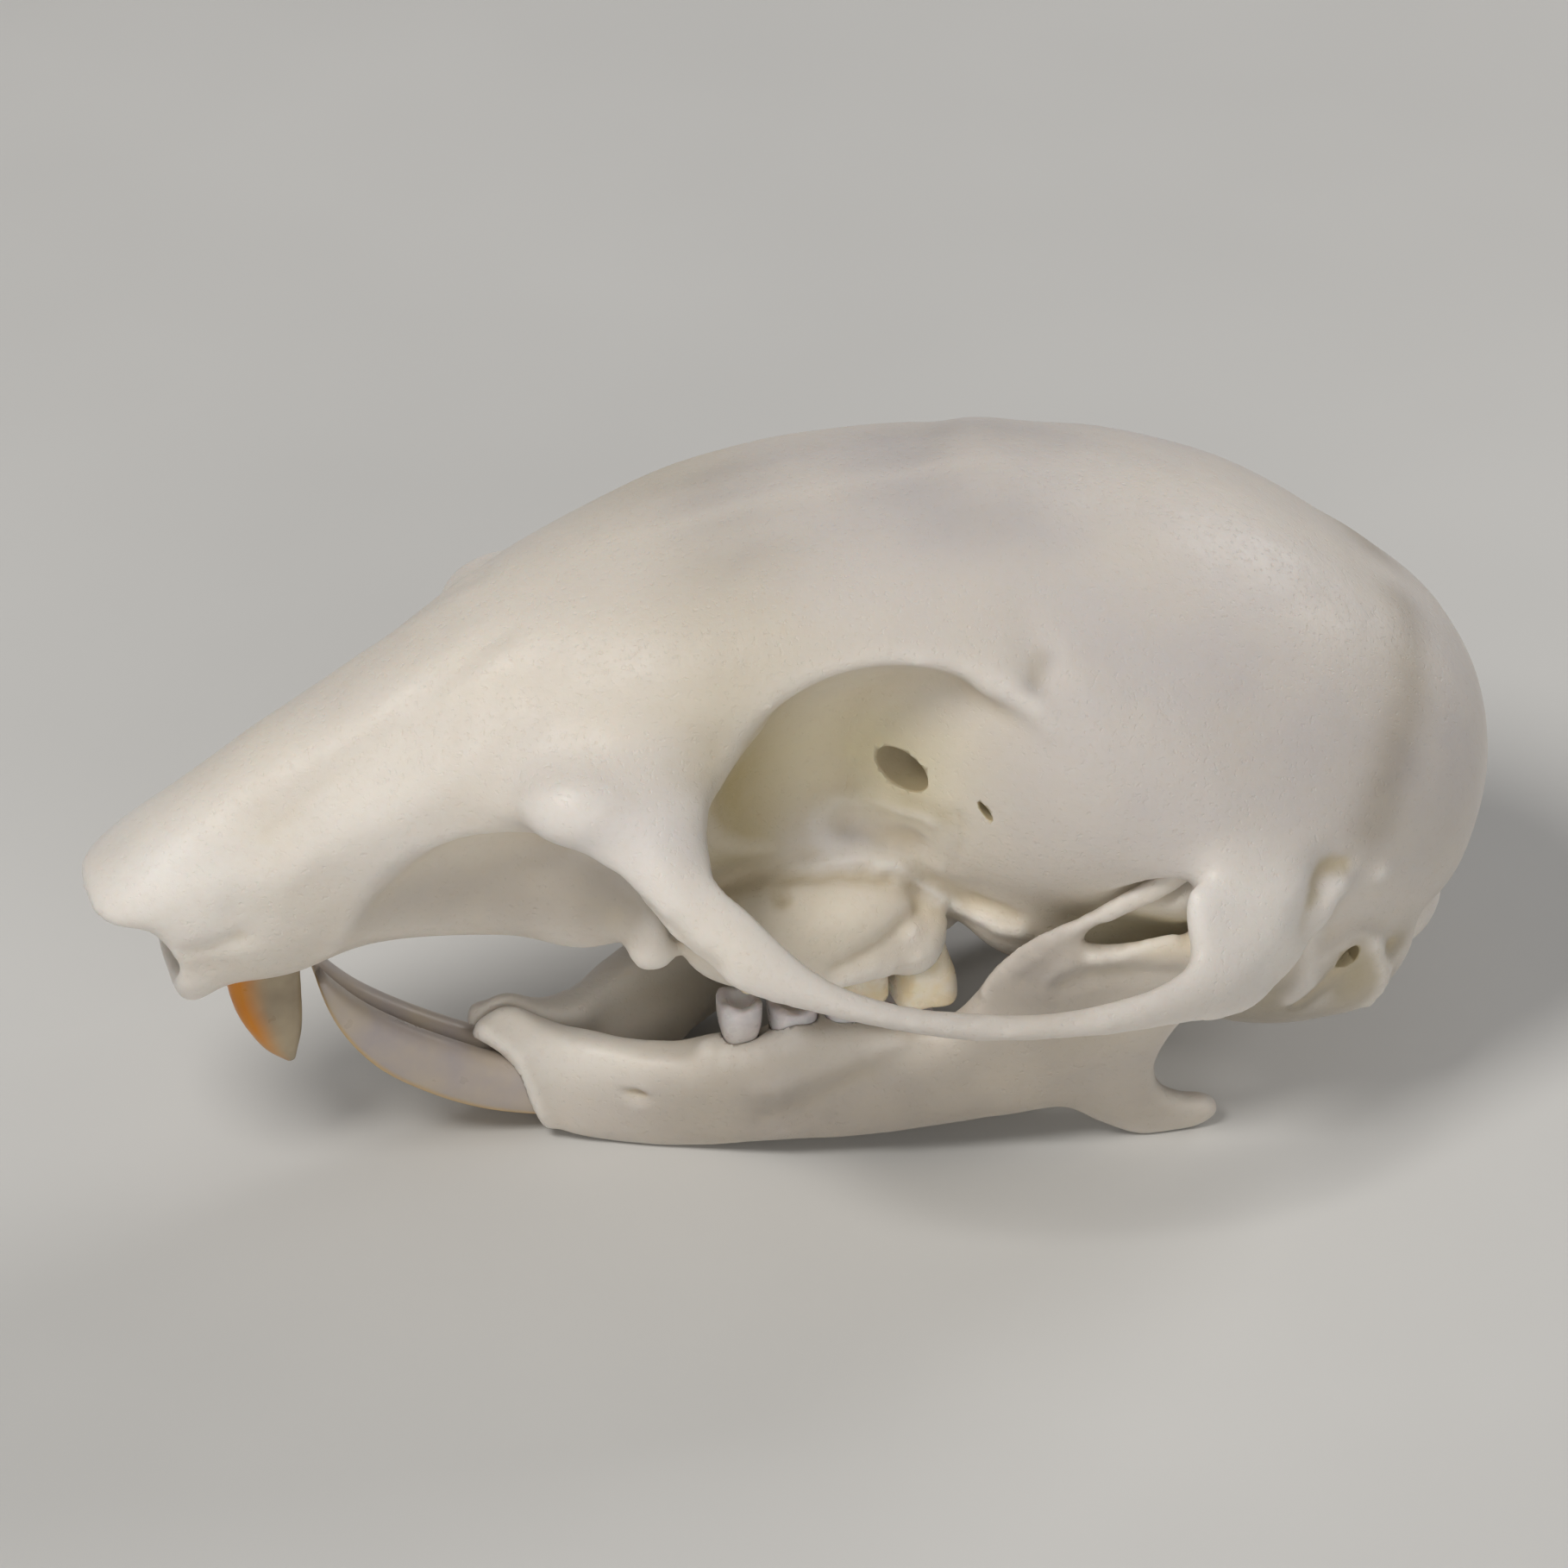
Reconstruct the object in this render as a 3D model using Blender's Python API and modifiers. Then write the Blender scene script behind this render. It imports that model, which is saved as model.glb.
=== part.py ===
"""Chipmunk skull: cranium, two half mandibles and twenty teeth, each its own solid.

The nose points to -X, the skull's left side to -Y, and +Z is up. The skull stands on the chins and the
angular processes of its mandible. Lengths are written in millimetres and turned to metres by MM.
"""

import math

import bmesh
import bpy
import numpy as np
from mathutils import Matrix, Vector

MM = 0.001
LEFT, RIGHT = -1, 1
SIDES = {"left": LEFT, "right": RIGHT}

# Driving dimensions
SOCKET_GAP = 0.06
JAW_GAP = 0.26
BONE_VOXEL = 0.25
JAW_VOXEL = 0.20
CRANIUM_FACES = 3020
MANDIBLE_FACES = 720
RING_SIDES = 48

# The cranium's body from nose to occiput: x, half width, top, height of the widest line, bottom,
# roundness above and roundness below (2 is an ellipse, more is squarer, less is sharper)
FACE_STATIONS = (
    (-20.35, 0.90, 10.45, 10.05, 9.75, 2.0, 2.0),
    (-20.00, 1.60, 10.75, 9.95, 9.50, 2.0, 2.0),
    (-19.30, 2.05, 11.30, 9.90, 9.30, 2.1, 2.0),
    (-18.50, 2.25, 11.95, 10.05, 9.05, 2.1, 2.0),
    (-18.10, 2.30, 12.25, 10.00, 6.95, 2.1, 2.4),
    (-16.50, 2.45, 13.35, 10.20, 6.75, 2.1, 2.6),
    (-14.50, 2.85, 14.60, 10.90, 6.65, 2.1, 2.3),
    (-13.00, 3.20, 15.45, 11.50, 7.20, 2.1, 2.0),
    (-11.00, 3.65, 16.60, 12.40, 7.50, 2.1, 2.2),
    (-9.00, 4.20, 17.75, 13.40, 7.35, 2.1, 2.4),
    (-7.00, 4.75, 18.55, 14.60, 7.05, 2.0, 2.4),
    (-5.00, 5.25, 19.10, 15.60, 7.00, 2.0, 1.9),
    (-2.50, 5.70, 19.65, 16.50, 7.40, 2.0, 1.6),
    (0.00, 5.80, 20.05, 17.00, 7.30, 2.0, 1.6),
    (2.00, 5.90, 20.20, 16.90, 7.30, 2.0, 1.6),
    (4.00, 6.20, 20.22, 16.20, 7.30, 2.0, 1.6),
    (5.60, 6.30, 20.05, 15.60, 7.60, 2.0, 1.6),
    (7.00, 5.40, 19.60, 15.00, 8.00, 2.0, 1.6),
)
BRAIN_STATIONS = (
    (0.40, 1.20, 14.50, 12.20, 9.60, 2.0, 2.0),
    (1.20, 2.60, 18.60, 12.60, 8.20, 2.0, 2.0),
    (2.50, 3.90, 20.05, 13.20, 7.20, 2.0, 2.0),
    (4.00, 5.30, 20.28, 13.60, 6.80, 2.0, 2.0),
    (6.00, 7.05, 20.30, 13.60, 6.50, 2.0, 2.0),
    (8.00, 7.80, 19.70, 12.70, 6.20, 2.0, 2.0),
    (10.00, 8.20, 19.20, 11.90, 5.80, 2.0, 2.1),
    (12.00, 8.20, 18.50, 11.10, 5.40, 2.0, 2.2),
    (14.00, 7.90, 17.45, 10.50, 5.10, 2.0, 2.2),
    (16.00, 7.30, 16.00, 9.80, 4.90, 2.0, 2.2),
    (17.50, 6.50, 14.80, 9.40, 4.95, 2.0, 2.2),
    (18.70, 5.45, 13.75, 9.50, 5.70, 2.0, 2.2),
    (19.60, 4.10, 12.75, 9.80, 7.20, 2.0, 2.0),
    (20.15, 2.50, 11.70, 10.00, 8.40, 2.0, 2.0),
    (20.40, 1.00, 10.80, 10.10, 9.40, 2.0, 2.0),
)
# Zygomatic arch: x, distance from the midline, z, half height, half thickness, degrees that its top leans in
ARCH_STATIONS = (
    (-9.60, 3.10, 13.90, 1.10, 0.80, 40),
    (-7.60, 4.70, 14.35, 1.10, 0.85, 40),
    (-5.90, 6.80, 13.35, 0.95, 0.65, 38),
    (-4.30, 8.45, 11.98, 1.15, 0.55, 34),
    (-2.90, 9.35, 10.82, 0.92, 0.50, 30),
    (-1.40, 10.00, 10.05, 0.56, 0.48, 24),
    (2.60, 10.90, 8.95, 0.46, 0.45, 14),
    (6.60, 10.98, 8.58, 0.52, 0.45, 10),
    (8.60, 10.50, 8.45, 0.74, 0.50, 12),
    (9.80, 9.95, 8.45, 1.05, 0.60, 14),
    (11.00, 9.20, 8.70, 1.40, 0.75, 16),
)
# Hind root of the arch, in the same columns
ROOT_STATIONS = (
    (9.40, 9.55, 9.20, 2.05, 0.42, 18),
    (10.40, 9.25, 9.15, 2.25, 0.65, 18),
    (11.50, 8.75, 9.20, 2.25, 0.90, 18),
    (12.70, 7.90, 9.45, 2.05, 1.25, 20),
    (14.00, 6.60, 9.90, 1.60, 1.20, 22),
)
# Mandible seen from the side: x, z, clockwise from the alveolus of the incisor
MANDIBLE_OUTLINE = (
    (-9.35, 3.20),
    (-8.95, 3.75),
    (-8.45, 4.05),
    (-7.90, 3.98),
    (-7.40, 3.60),
    (-6.70, 3.22),
    (-5.80, 3.08),
    (-4.80, 3.15),
    (-3.60, 3.36),
    (-2.80, 3.60),
    (-1.60, 3.75),
    (-0.60, 4.40),
    (0.50, 4.60),
    (2.60, 4.30),
    (3.70, 4.55),
    (4.25, 5.40),
    (4.90, 6.80),
    (5.75, 7.90),
    (7.10, 8.90),
    (8.70, 10.05),
    (9.80, 10.70),
    (10.15, 10.62),
    (9.80, 10.10),
    (8.90, 9.35),
    (8.00, 8.65),
    (7.45, 8.00),
    (7.70, 7.60),
    (8.50, 7.60),
    (9.40, 7.80),
    (10.40, 8.15),
    (11.20, 8.45),
    (11.80, 8.00),
    (11.50, 7.10),
    (10.60, 5.80),
    (9.75, 4.20),
    (9.45, 2.90),
    (9.75, 1.80),
    (10.50, 1.15),
    (11.25, 0.95),
    (11.60, 0.52),
    (11.20, 0.08),
    (10.20, -0.06),
    (9.20, -0.06),
    (8.10, 0.50),
    (6.90, 1.35),
    (5.20, 1.15),
    (3.40, 0.90),
    (0.60, 0.55),
    (-1.20, 0.50),
    (-3.00, 0.05),
    (-4.60, -0.06),
    (-6.40, 0.10),
    (-7.10, 0.35),
    (-7.60, 0.95),
    (-8.05, 1.90),
    (-8.60, 2.75),
)
# Middle surface of the mandible, distance from the midline by x: at its lower edge and at its top
MANDIBLE_SPREAD = (
    (-9.4, 0.85, -0.90),
    (-8.0, 0.90, -0.50),
    (-6.9, 1.05, -0.20),
    (-5.8, 1.35, 0.60),
    (-4.9, 1.70, 2.20),
    (-3.6, 2.20, 3.40),
    (-1.2, 3.30, 3.60),
    (1.0, 3.70, 3.70),
    (4.0, 4.40, 5.20),
    (6.0, 4.80, 6.30),
    (9.0, 5.10, 7.10),
    (12.0, 5.20, 7.60),
)
# Half thickness of the mandible by x: at its lower edge and at its top
MANDIBLE_THICKNESS = (
    (-9.4, 0.75, 0.10),
    (-7.5, 0.90, 0.20),
    (-5.0, 0.95, 0.75),
    (-2.0, 0.92, 1.20),
    (2.0, 0.95, 1.15),
    (4.5, 0.62, 0.55),
    (8.0, 0.45, 0.45),
    (12.0, 0.50, 0.62),
)

# Incisors, from the root to the biting edge: x, distance from the midline, z, half depth, half width
UPPER_INCISOR_PATH = (
    (-12.60, 0.62, 9.60, 0.70, 0.40),
    (-14.10, 0.60, 9.00, 0.95, 0.46),
    (-15.05, 0.58, 7.90, 1.05, 0.50),
    (-15.30, 0.57, 6.90, 1.05, 0.50),
    (-15.22, 0.56, 5.90, 0.98, 0.50),
    (-15.02, 0.55, 5.00, 0.80, 0.49),
    (-14.80, 0.54, 4.20, 0.50, 0.46),
    (-14.62, 0.53, 3.72, 0.16, 0.38),
)
LOWER_INCISOR_PATH = (
    (-3.50, 1.55, 1.35, 0.62, 0.40),
    (-5.50, 1.20, 1.28, 0.72, 0.46),
    (-7.30, 0.80, 1.38, 0.80, 0.52),
    (-8.80, 0.64, 1.78, 0.84, 0.55),
    (-10.30, 0.60, 2.56, 0.84, 0.55),
    (-11.70, 0.59, 3.56, 0.74, 0.54),
    (-12.80, 0.57, 4.74, 0.48, 0.50),
    (-13.42, 0.55, 5.74, 0.24, 0.44),
    (-13.66, 0.54, 6.22, 0.12, 0.38),
)
# Cheek teeth: name, x, distance from the midline, half length, half width, height of the biting edge
UPPER_CHEEK_TEETH = (
    ("premolar", -1.70, 3.38, 0.58, 0.70, 5.90),
    ("first_molar", -0.27, 3.60, 0.70, 0.94, 5.55),
    ("second_molar", 1.33, 3.64, 0.72, 1.00, 5.32),
    ("third_molar", 3.14, 3.62, 0.95, 1.00, 4.85),
)
LOWER_CHEEK_TEETH = (
    ("premolar", -2.05, 2.95, 0.62, 0.68, 5.25),
    ("first_molar", -0.55, 3.10, 0.68, 0.82, 5.08),
    ("second_molar", 1.00, 3.22, 0.70, 0.88, 4.90),
    ("third_molar", 2.66, 3.34, 0.80, 0.86, 4.50),
)
# Heights of a cheek tooth measured from its biting edge: height, share of the full size
TOOTH_PROFILE = (
    (0.28, 0.45),
    (0.02, 0.80),
    (0.10, 0.97),
    (0.45, 1.00),
    (1.00, 0.90),
    (1.30, 0.78),
    (2.30, 0.50),
)


def through(points, count):
    """Points on one smooth curve through the given rows, at even steps of its length."""
    rows = np.array(points, float)
    steps = np.maximum(np.linalg.norm(np.diff(rows[:, :3], axis=0), axis=1), 1e-6)
    knots = np.concatenate([[0.0], np.cumsum(steps)])
    slopes = np.gradient(rows, knots, axis=0)
    places = np.linspace(0.0, knots[-1], count)
    index = np.clip(np.searchsorted(knots, places, side="right") - 1, 0, len(steps) - 1)
    width = steps[index][:, None]
    t = (places - knots[index])[:, None] / width
    start, end = rows[index], rows[index + 1]
    start_slope, end_slope = slopes[index] * width, slopes[index + 1] * width
    return (
        (2 * t**3 - 3 * t**2 + 1) * start
        + (t**3 - 2 * t**2 + t) * start_slope
        + (3 * t**2 - 2 * t**3) * end
        + (t**3 - t**2) * end_slope
    )


def object_of(name, mesh, collection=None):
    """A new object that shows this mesh."""
    obj = bpy.data.objects.new(name, mesh)
    (collection or bpy.context.scene.collection).objects.link(obj)
    return obj


def baked(obj):
    """The object's mesh with its modifiers applied; the object itself is removed."""
    bpy.context.view_layer.update()
    graph = bpy.context.evaluated_depsgraph_get()
    mesh = bpy.data.meshes.new_from_object(obj.evaluated_get(graph))
    mesh.transform(obj.matrix_world)
    bpy.data.objects.remove(obj)
    return mesh


def loft(rings):
    """A closed mesh over rings of points in millimetres, with a flat cap at each end."""
    bm = bmesh.new()
    rows = [[bm.verts.new(Vector(point) * MM) for point in ring] for ring in rings]
    count = len(rows[0])
    for low, high in zip(rows, rows[1:]):
        for i in range(count):
            j = (i + 1) % count
            bm.faces.new((low[i], low[j], high[j], high[i]))
    bm.faces.new(reversed(rows[0]))
    bm.faces.new(rows[-1])
    bmesh.ops.recalc_face_normals(bm, faces=bm.faces)
    mesh = bpy.data.meshes.new("loft")
    bm.to_mesh(mesh)
    bm.free()
    return mesh


def ellipsoid(centre, radii, turn=(0.0, 0.0, 0.0), segments=32):
    """A ball stretched to three radii, turned by degrees about X, Y and Z."""
    bm = bmesh.new()
    bmesh.ops.create_uvsphere(bm, u_segments=segments, v_segments=segments // 2, radius=1.0)
    angles = [math.radians(angle) for angle in turn]
    place = Matrix.Translation(Vector(centre) * MM)
    for angle, axis in zip(reversed(angles), "ZYX"):
        place = place @ Matrix.Rotation(angle, 4, axis)
    place = place @ Matrix.Diagonal((*(Vector(radii) * MM), 1.0))
    bmesh.ops.transform(bm, matrix=place, verts=bm.verts)
    mesh = bpy.data.meshes.new("ellipsoid")
    bm.to_mesh(mesh)
    bm.free()
    return mesh


def body_ring(station, sides=RING_SIDES):
    """One cross section of the cranium's body, across X."""
    x, half_width, top, widest, bottom, round_up, round_down = station
    ring = []
    for k in range(sides):
        angle = 2 * math.pi * k / sides
        across, upward = math.cos(angle), math.sin(angle)
        power = 2 / (round_up if upward > 0 else round_down)
        reach = (top - widest) if upward > 0 else (widest - bottom)
        y = half_width * math.copysign(abs(across) ** power, across)
        z = widest + reach * math.copysign(abs(upward) ** power, upward)
        ring.append((x, y, z))
    return ring


def limb(rows, count, sides=16):
    """A rod with an oval section along a path: x, y, z, half height, half thickness, lean outwards."""
    path = through(rows, count)
    directions = np.gradient(path[:, :3], axis=0)
    rings = []
    for row, direction in zip(path, directions):
        centre = Vector(row[:3])
        along = Vector(direction).normalized()
        level = along.cross(Vector((0, 0, 1))).normalized()
        upright = level.cross(along).normalized()
        lean = math.radians(row[5])
        tall = upright * math.cos(lean) + level * math.sin(lean)
        flat = level * math.cos(lean) - upright * math.sin(lean)
        ring = []
        for k in range(sides):
            angle = 2 * math.pi * k / sides
            ring.append(centre + tall * (row[3] * math.sin(angle)) + flat * (row[4] * math.cos(angle)))
        rings.append(ring)
    return loft(rings)


def placed(stations, side):
    """The stations of an arch on one side of the skull."""
    return [(x, side * y, z, tall, thick, side * lean) for x, y, z, tall, thick, lean in stations]


def fuse(meshes, voxel):
    """One skin round all the meshes, made of cells of this size in millimetres."""
    bm = bmesh.new()
    for mesh in meshes:
        bm.from_mesh(mesh)
    joined = bpy.data.meshes.new("joined")
    bm.to_mesh(joined)
    bm.free()
    obj = object_of("fusing", joined)
    remesh = obj.modifiers.new("skin", "REMESH")
    remesh.mode = "VOXEL"
    remesh.voxel_size = voxel * MM
    return baked(obj)


def carve(mesh, cutters):
    """The mesh less each cutter."""
    obj = object_of("carving", mesh)
    tools = []
    for cutter in cutters:
        tool = object_of("cutter", cutter)
        cut = obj.modifiers.new("cut", "BOOLEAN")
        cut.operation = "DIFFERENCE"
        cut.object = tool
        tools.append(tool)
    result = baked(obj)
    for tool in tools:
        bpy.data.objects.remove(tool)
    return result


def relaxed(mesh, rounds):
    """The mesh with its voxel steps smoothed out."""
    obj = object_of("relaxing", mesh)
    smooth = obj.modifiers.new("smooth", "SMOOTH")
    smooth.factor = 0.5
    smooth.iterations = rounds
    return baked(obj)


def masseter_space(side):
    """Cutter for the hollow below the front root of the zygomatic arch."""
    rings = []
    for y, scale in ((13.0, 1.0), (3.2, 1.0), (2.85, 0.95), (2.6, 0.86), (2.45, 0.70), (2.4, 0.4)):
        ring = []
        for k in range(RING_SIDES):
            angle = 2 * math.pi * k / RING_SIDES
            ring.append((-8.4 + 5.6 * scale * math.cos(angle), side * y, 7.6 + 5.2 * scale * math.sin(angle)))
        rings.append(ring)
    return loft(rings)


def face(voxel):
    """Rostrum and forehead, hollowed by the eye sockets, the nose and the chewing muscles."""
    masses = [loft([body_ring(row) for row in through(FACE_STATIONS, 70)])]
    cutters = [ellipsoid((-18.6, 0.0, 8.6), (2.6, 1.6, 1.8), (0, -20, 0))]
    for side in SIDES.values():
        arch = placed(ARCH_STATIONS, side)
        cheek = [(-5.0, 3.6, 15.6, 1.1, 1.5), (-5.1, 5.4, 14.5, 1.0, 1.5), (-5.1, 7.1, 13.1, 0.9, 1.2)]
        cheek.append((-4.7, 8.2, 12.2, 0.7, 0.9))
        masses += [
            limb(arch[:5], 16),
            limb([(x, side * y, z, tall, thick, 0) for x, y, z, tall, thick in cheek], 14),
            ellipsoid((-6.7, side * 5.0, 14.3), (2.2, 1.8, 1.35)),
        ]
        cutters += [
            ellipsoid((1.2, side * 7.5, 12.8), (5.3, 5.2, 5.2), segments=48),
            ellipsoid((5.5, side * 7.5, 11.5), (5.3, 5.0, 5.2), segments=48),
            masseter_space(side),
        ]
    return carve(relaxed(fuse(masses, voxel), 14), cutters)


def braincase(voxel):
    """The round hind part with the ear capsules, the ear openings and the hole for the spinal cord."""
    masses = [loft([body_ring(row) for row in through(BRAIN_STATIONS, 60)])]
    cutters = [ellipsoid((20.0, 0.0, 6.6), (3.2, 2.0, 1.95), (0, 25, 0))]
    for side in SIDES.values():
        masses += [
            ellipsoid((13.0, side * 4.6, 6.4), (4.3, 2.7, 3.15), (0, 0, side * 16)),
            ellipsoid((14.9, side * 5.5, 5.9), (1.8, 1.6, 2.3)),
        ]
        cutters.append(ellipsoid((7.2, side * 10.4, 8.6), (4.4, 3.7, 3.8)))
    return carve(fuse(masses, voxel), cutters)


def cranium_additions():
    """Arches, alveolar ridges, processes and condyles, which the hollows don't cut."""
    pieces = []
    for side in SIDES.values():
        arch = placed(ARCH_STATIONS, side)
        plate = [(-6.6, 3.1, 12.0), (-5.9, 3.2, 10.6), (-5.3, 3.5, 9.3), (-4.9, 4.0, 8.3)]
        brow = [(4.2, 5.6, 17.0, 0.6, 0.5), (5.4, 6.2, 16.3, 0.42, 0.35), (6.3, 6.75, 15.3, 0.22, 0.25)]
        wing = [(2.9, 2.6, 8.6, 1.2, 0.45), (4.6, 2.5, 7.6, 1.1, 0.4), (6.4, 2.2, 6.0, 0.7, 0.3)]
        wing.append((6.9, 2.1, 5.3, 0.3, 0.22))
        pieces += [
            limb(arch[2:], 44),
            limb(placed(ROOT_STATIONS, side), 16),
            limb([(x, side * y, z, 0.85, 0.50, 0) for x, y, z in plate], 12),
            ellipsoid((-4.85, side * 4.2, 8.05), (0.75, 0.55, 0.60)),
            ellipsoid((-6.3, side * 2.5, 9.6), (2.6, 1.15, 2.2)),
            ellipsoid((-0.5, side * 3.8, 7.85), (3.5, 1.45, 1.85)),
            ellipsoid((1.5, side * 2.6, 9.6), (2.3, 1.1, 1.4)),
            ellipsoid((0.9, side * 3.6, 7.2), (3.1, 1.15, 1.2)),
            ellipsoid((2.75, side * 3.6, 6.90), (1.1, 1.25, 1.1)),
            ellipsoid((3.9, side * 1.7, 6.4), (1.0, 0.5, 1.1)),
            ellipsoid((8.2, side * 2.8, 7.3), (3.8, 2.3, 2.4)),
            limb([(x, side * y, z, tall, thick, 0) for x, y, z, tall, thick in brow], 8),
            limb([(x, side * y, z, tall, thick, 0) for x, y, z, tall, thick in wing], 10),
            ellipsoid((17.6, side * 2.7, 5.1), (1.2, 1.1, 1.8), (0, 20, 0)),
        ]
    return pieces


def swollen(mesh, by):
    """The mesh with its skin moved outwards."""
    obj = object_of("swelling", mesh)
    displace = obj.modifiers.new("outwards", "DISPLACE")
    displace.mid_level = 0.0
    displace.strength = by * MM
    return baked(obj)


def cranium_mesh(voxel, rounds):
    """The whole cranium, with room for the hinge knobs and the blades of the mandible."""
    whole = fuse([face(voxel), braincase(voxel), *cranium_additions()], voxel)
    room = [swollen(mandible_mesh(side, voxel, 4), JAW_GAP) for side in SIDES.values()]
    return relaxed(fuse([carve(whole, room)], voxel), rounds)


def edge_distance(points, outline):
    """Distance of each x, z point to the nearest point of a closed outline."""
    best = np.full(len(points), 1e9)
    for place in outline:
        best = np.minimum(best, np.hypot(points[:, 0] - place[0], points[:, 1] - place[1]))
    return best


def by_x(table, x, share):
    """A value read from a table by x, between its lower-edge and its top column."""
    rows = np.array(table)
    low = np.interp(x, rows[:, 0], rows[:, 1])
    high = np.interp(x, rows[:, 0], rows[:, 2])
    return low + (high - low) * share


def mandible_blade(side, voxel):
    """The bone as a blade cut to the outline, bent along its middle surface and rounded at its rim."""
    outline = through(MANDIBLE_OUTLINE + MANDIBLE_OUTLINE[:1], 260)[:-1]
    slab = loft([[(x, y, z) for x, z in outline] for y in (-1.0, 1.0)])
    mesh = fuse([slab], voxel * 0.8)
    points = np.empty(len(mesh.vertices) * 3)
    mesh.vertices.foreach_get("co", points)
    points = points.reshape(-1, 3) / MM
    rim = np.clip(edge_distance(points[:, [0, 2]], outline) / 0.95, 0.0, 1.0)
    roundness = 0.45 + 0.55 * np.sqrt(1 - (1 - rim) ** 2)
    share = np.clip((points[:, 2] - 0.5) / 7.0, 0.0, 1.0)
    middle = by_x(MANDIBLE_SPREAD, points[:, 0], share)
    half = by_x(MANDIBLE_THICKNESS, points[:, 0], share)
    across = np.maximum(middle + points[:, 1] * half * roundness, 0.06)
    points[:, 1] = side * across
    mesh.vertices.foreach_set("co", (points * MM).ravel())
    if side < 0:
        mesh.flip_normals()
    return mesh


def mandible_mesh(side, voxel, rounds):
    """One half of the lower jaw, with its hinge knob and the swelling round the incisor's root."""
    root = [(-1.2, side * 2.9, 1.7, 0.4, 0.3, 0), (-2.4, side * 2.1, 1.5, 0.8, 0.6, 0)]
    root += [(x, side * y, z, 1.10, min(0.95, y - 0.12), 0) for x, y, z, _, _ in LOWER_INCISOR_PATH[:3]]
    pieces = [
        mandible_blade(side, voxel),
        ellipsoid((10.9, side * 7.15, 7.95), (1.15, 0.75, 0.6), (0, -15, 0)),
        limb(root, 16),
        ellipsoid((1.0, side * 3.2, 3.0), (3.4, 0.95, 1.0)),
    ]
    return relaxed(fuse(pieces, voxel), rounds)


def incisor(path, side, gap, sides=10):
    """A bent tooth with a rounded square section, widened by the gap when it cuts its own socket."""
    rows = through(path, 11)
    slopes = np.gradient(rows[:, [0, 2]], axis=0)
    rings = []
    for (x, y, z, deep, wide), (run, rise) in zip(rows, slopes):
        length = math.hypot(run, rise)
        normal = (rise / length, -run / length)
        ring = []
        for k in range(sides):
            angle = 2 * math.pi * (k + 0.5) / sides
            across = math.copysign(abs(math.cos(angle)) ** 0.7, math.cos(angle)) * (wide + gap)
            out = math.copysign(abs(math.sin(angle)) ** 0.7, math.sin(angle)) * (deep + gap)
            ring.append((x + normal[0] * out, side * (y + across), z + normal[1] * out))
        rings.append(ring)
    return loft(rings)


def cheek_tooth(place, side, up, gap, sides=10):
    """A cheek tooth with four cusps: rings from the basin over the rim and the crown down to the root."""
    name, x, y, long, wide, bite = place
    levels = [(height, share, 0.0) for height, share in TOOTH_PROFILE]
    levels[1] = (TOOTH_PROFILE[1][0], TOOTH_PROFILE[1][1], 0.22)
    rings = []
    for height, share, cusp in levels:
        ring = []
        for k in range(sides):
            angle = 2 * math.pi * k / sides
            dip = cusp * (1 - abs(math.sin(2 * angle)))
            along = math.copysign(abs(math.cos(angle)) ** 0.65, math.cos(angle)) * (long * share + gap)
            across = math.copysign(abs(math.sin(angle)) ** 0.65, math.sin(angle)) * (wide * share + gap)
            ring.append((x + along, side * y + across, bite + up * (height + dip)))
        rings.append(ring)
    if gap:
        rings = rings[2:]
        rings[-1] = [(px, py, pz + up * gap) for px, py, pz in rings[-1]]
    return loft(rings)


def simplified(mesh, faces):
    """The mesh with its faces merged down to about this many triangles."""
    triangles = sum(len(face.vertices) - 2 for face in mesh.polygons)
    obj = object_of("simplifying", mesh)
    decimate = obj.modifiers.new("fewer faces", "DECIMATE")
    decimate.ratio = faces / triangles
    return baked(obj)


def footed(mesh):
    """The mesh cut flat at the table."""
    bm = bmesh.new()
    bm.from_mesh(mesh)
    everything = bm.verts[:] + bm.edges[:] + bm.faces[:]
    table = {"plane_co": (0, 0, 0), "plane_no": (0, 0, -1)}
    cut = bmesh.ops.bisect_plane(bm, geom=everything, clear_outer=True, **table)
    rim = [item for item in cut["geom_cut"] if isinstance(item, bmesh.types.BMEdge)]
    bmesh.ops.holes_fill(bm, edges=rim, sides=0)
    bmesh.ops.triangulate(bm, faces=bm.faces)
    bm.to_mesh(mesh)
    bm.free()
    return mesh


def material(name, colour, roughness):
    """A plain material."""
    made = bpy.data.materials.new(name)
    made.use_nodes = True
    shader = made.node_tree.nodes["Principled BSDF"]
    shader.inputs["Base Color"].default_value = (*colour, 1.0)
    shader.inputs["Roughness"].default_value = roughness
    return made


def finish(name, mesh, collection, colour, roughness):
    """A named piece with its own material."""
    obj = object_of(name, mesh, collection)
    mesh.name = name
    mesh.materials.clear()
    mesh.materials.append(material(name, colour, roughness))
    mesh.shade_smooth()
    return obj


def teeth_row(side, word, skull, rows):
    """One side's incisor and cheek teeth of one jaw; gives back the cutters for their sockets."""
    jaw, path, up, places, rooted = rows
    enamel = (0.72, 0.66, 0.54)
    finish(f"{jaw}_incisor_{word}", incisor(path, side, 0), skull, enamel, 0.35)
    sockets = [incisor(path[:rooted], side, SOCKET_GAP)]
    for place in places:
        sockets.append(cheek_tooth(place, side, up, SOCKET_GAP))
        tooth = cheek_tooth(place, side, up, 0)
        finish(f"{jaw}_{place[0]}_{word}", tooth, skull, enamel, 0.35)
    return sockets


UPPER_ROW = ("upper", UPPER_INCISOR_PATH, 1, UPPER_CHEEK_TEETH, 5)
LOWER_ROW = ("lower", LOWER_INCISOR_PATH, -1, LOWER_CHEEK_TEETH, 6)


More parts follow.
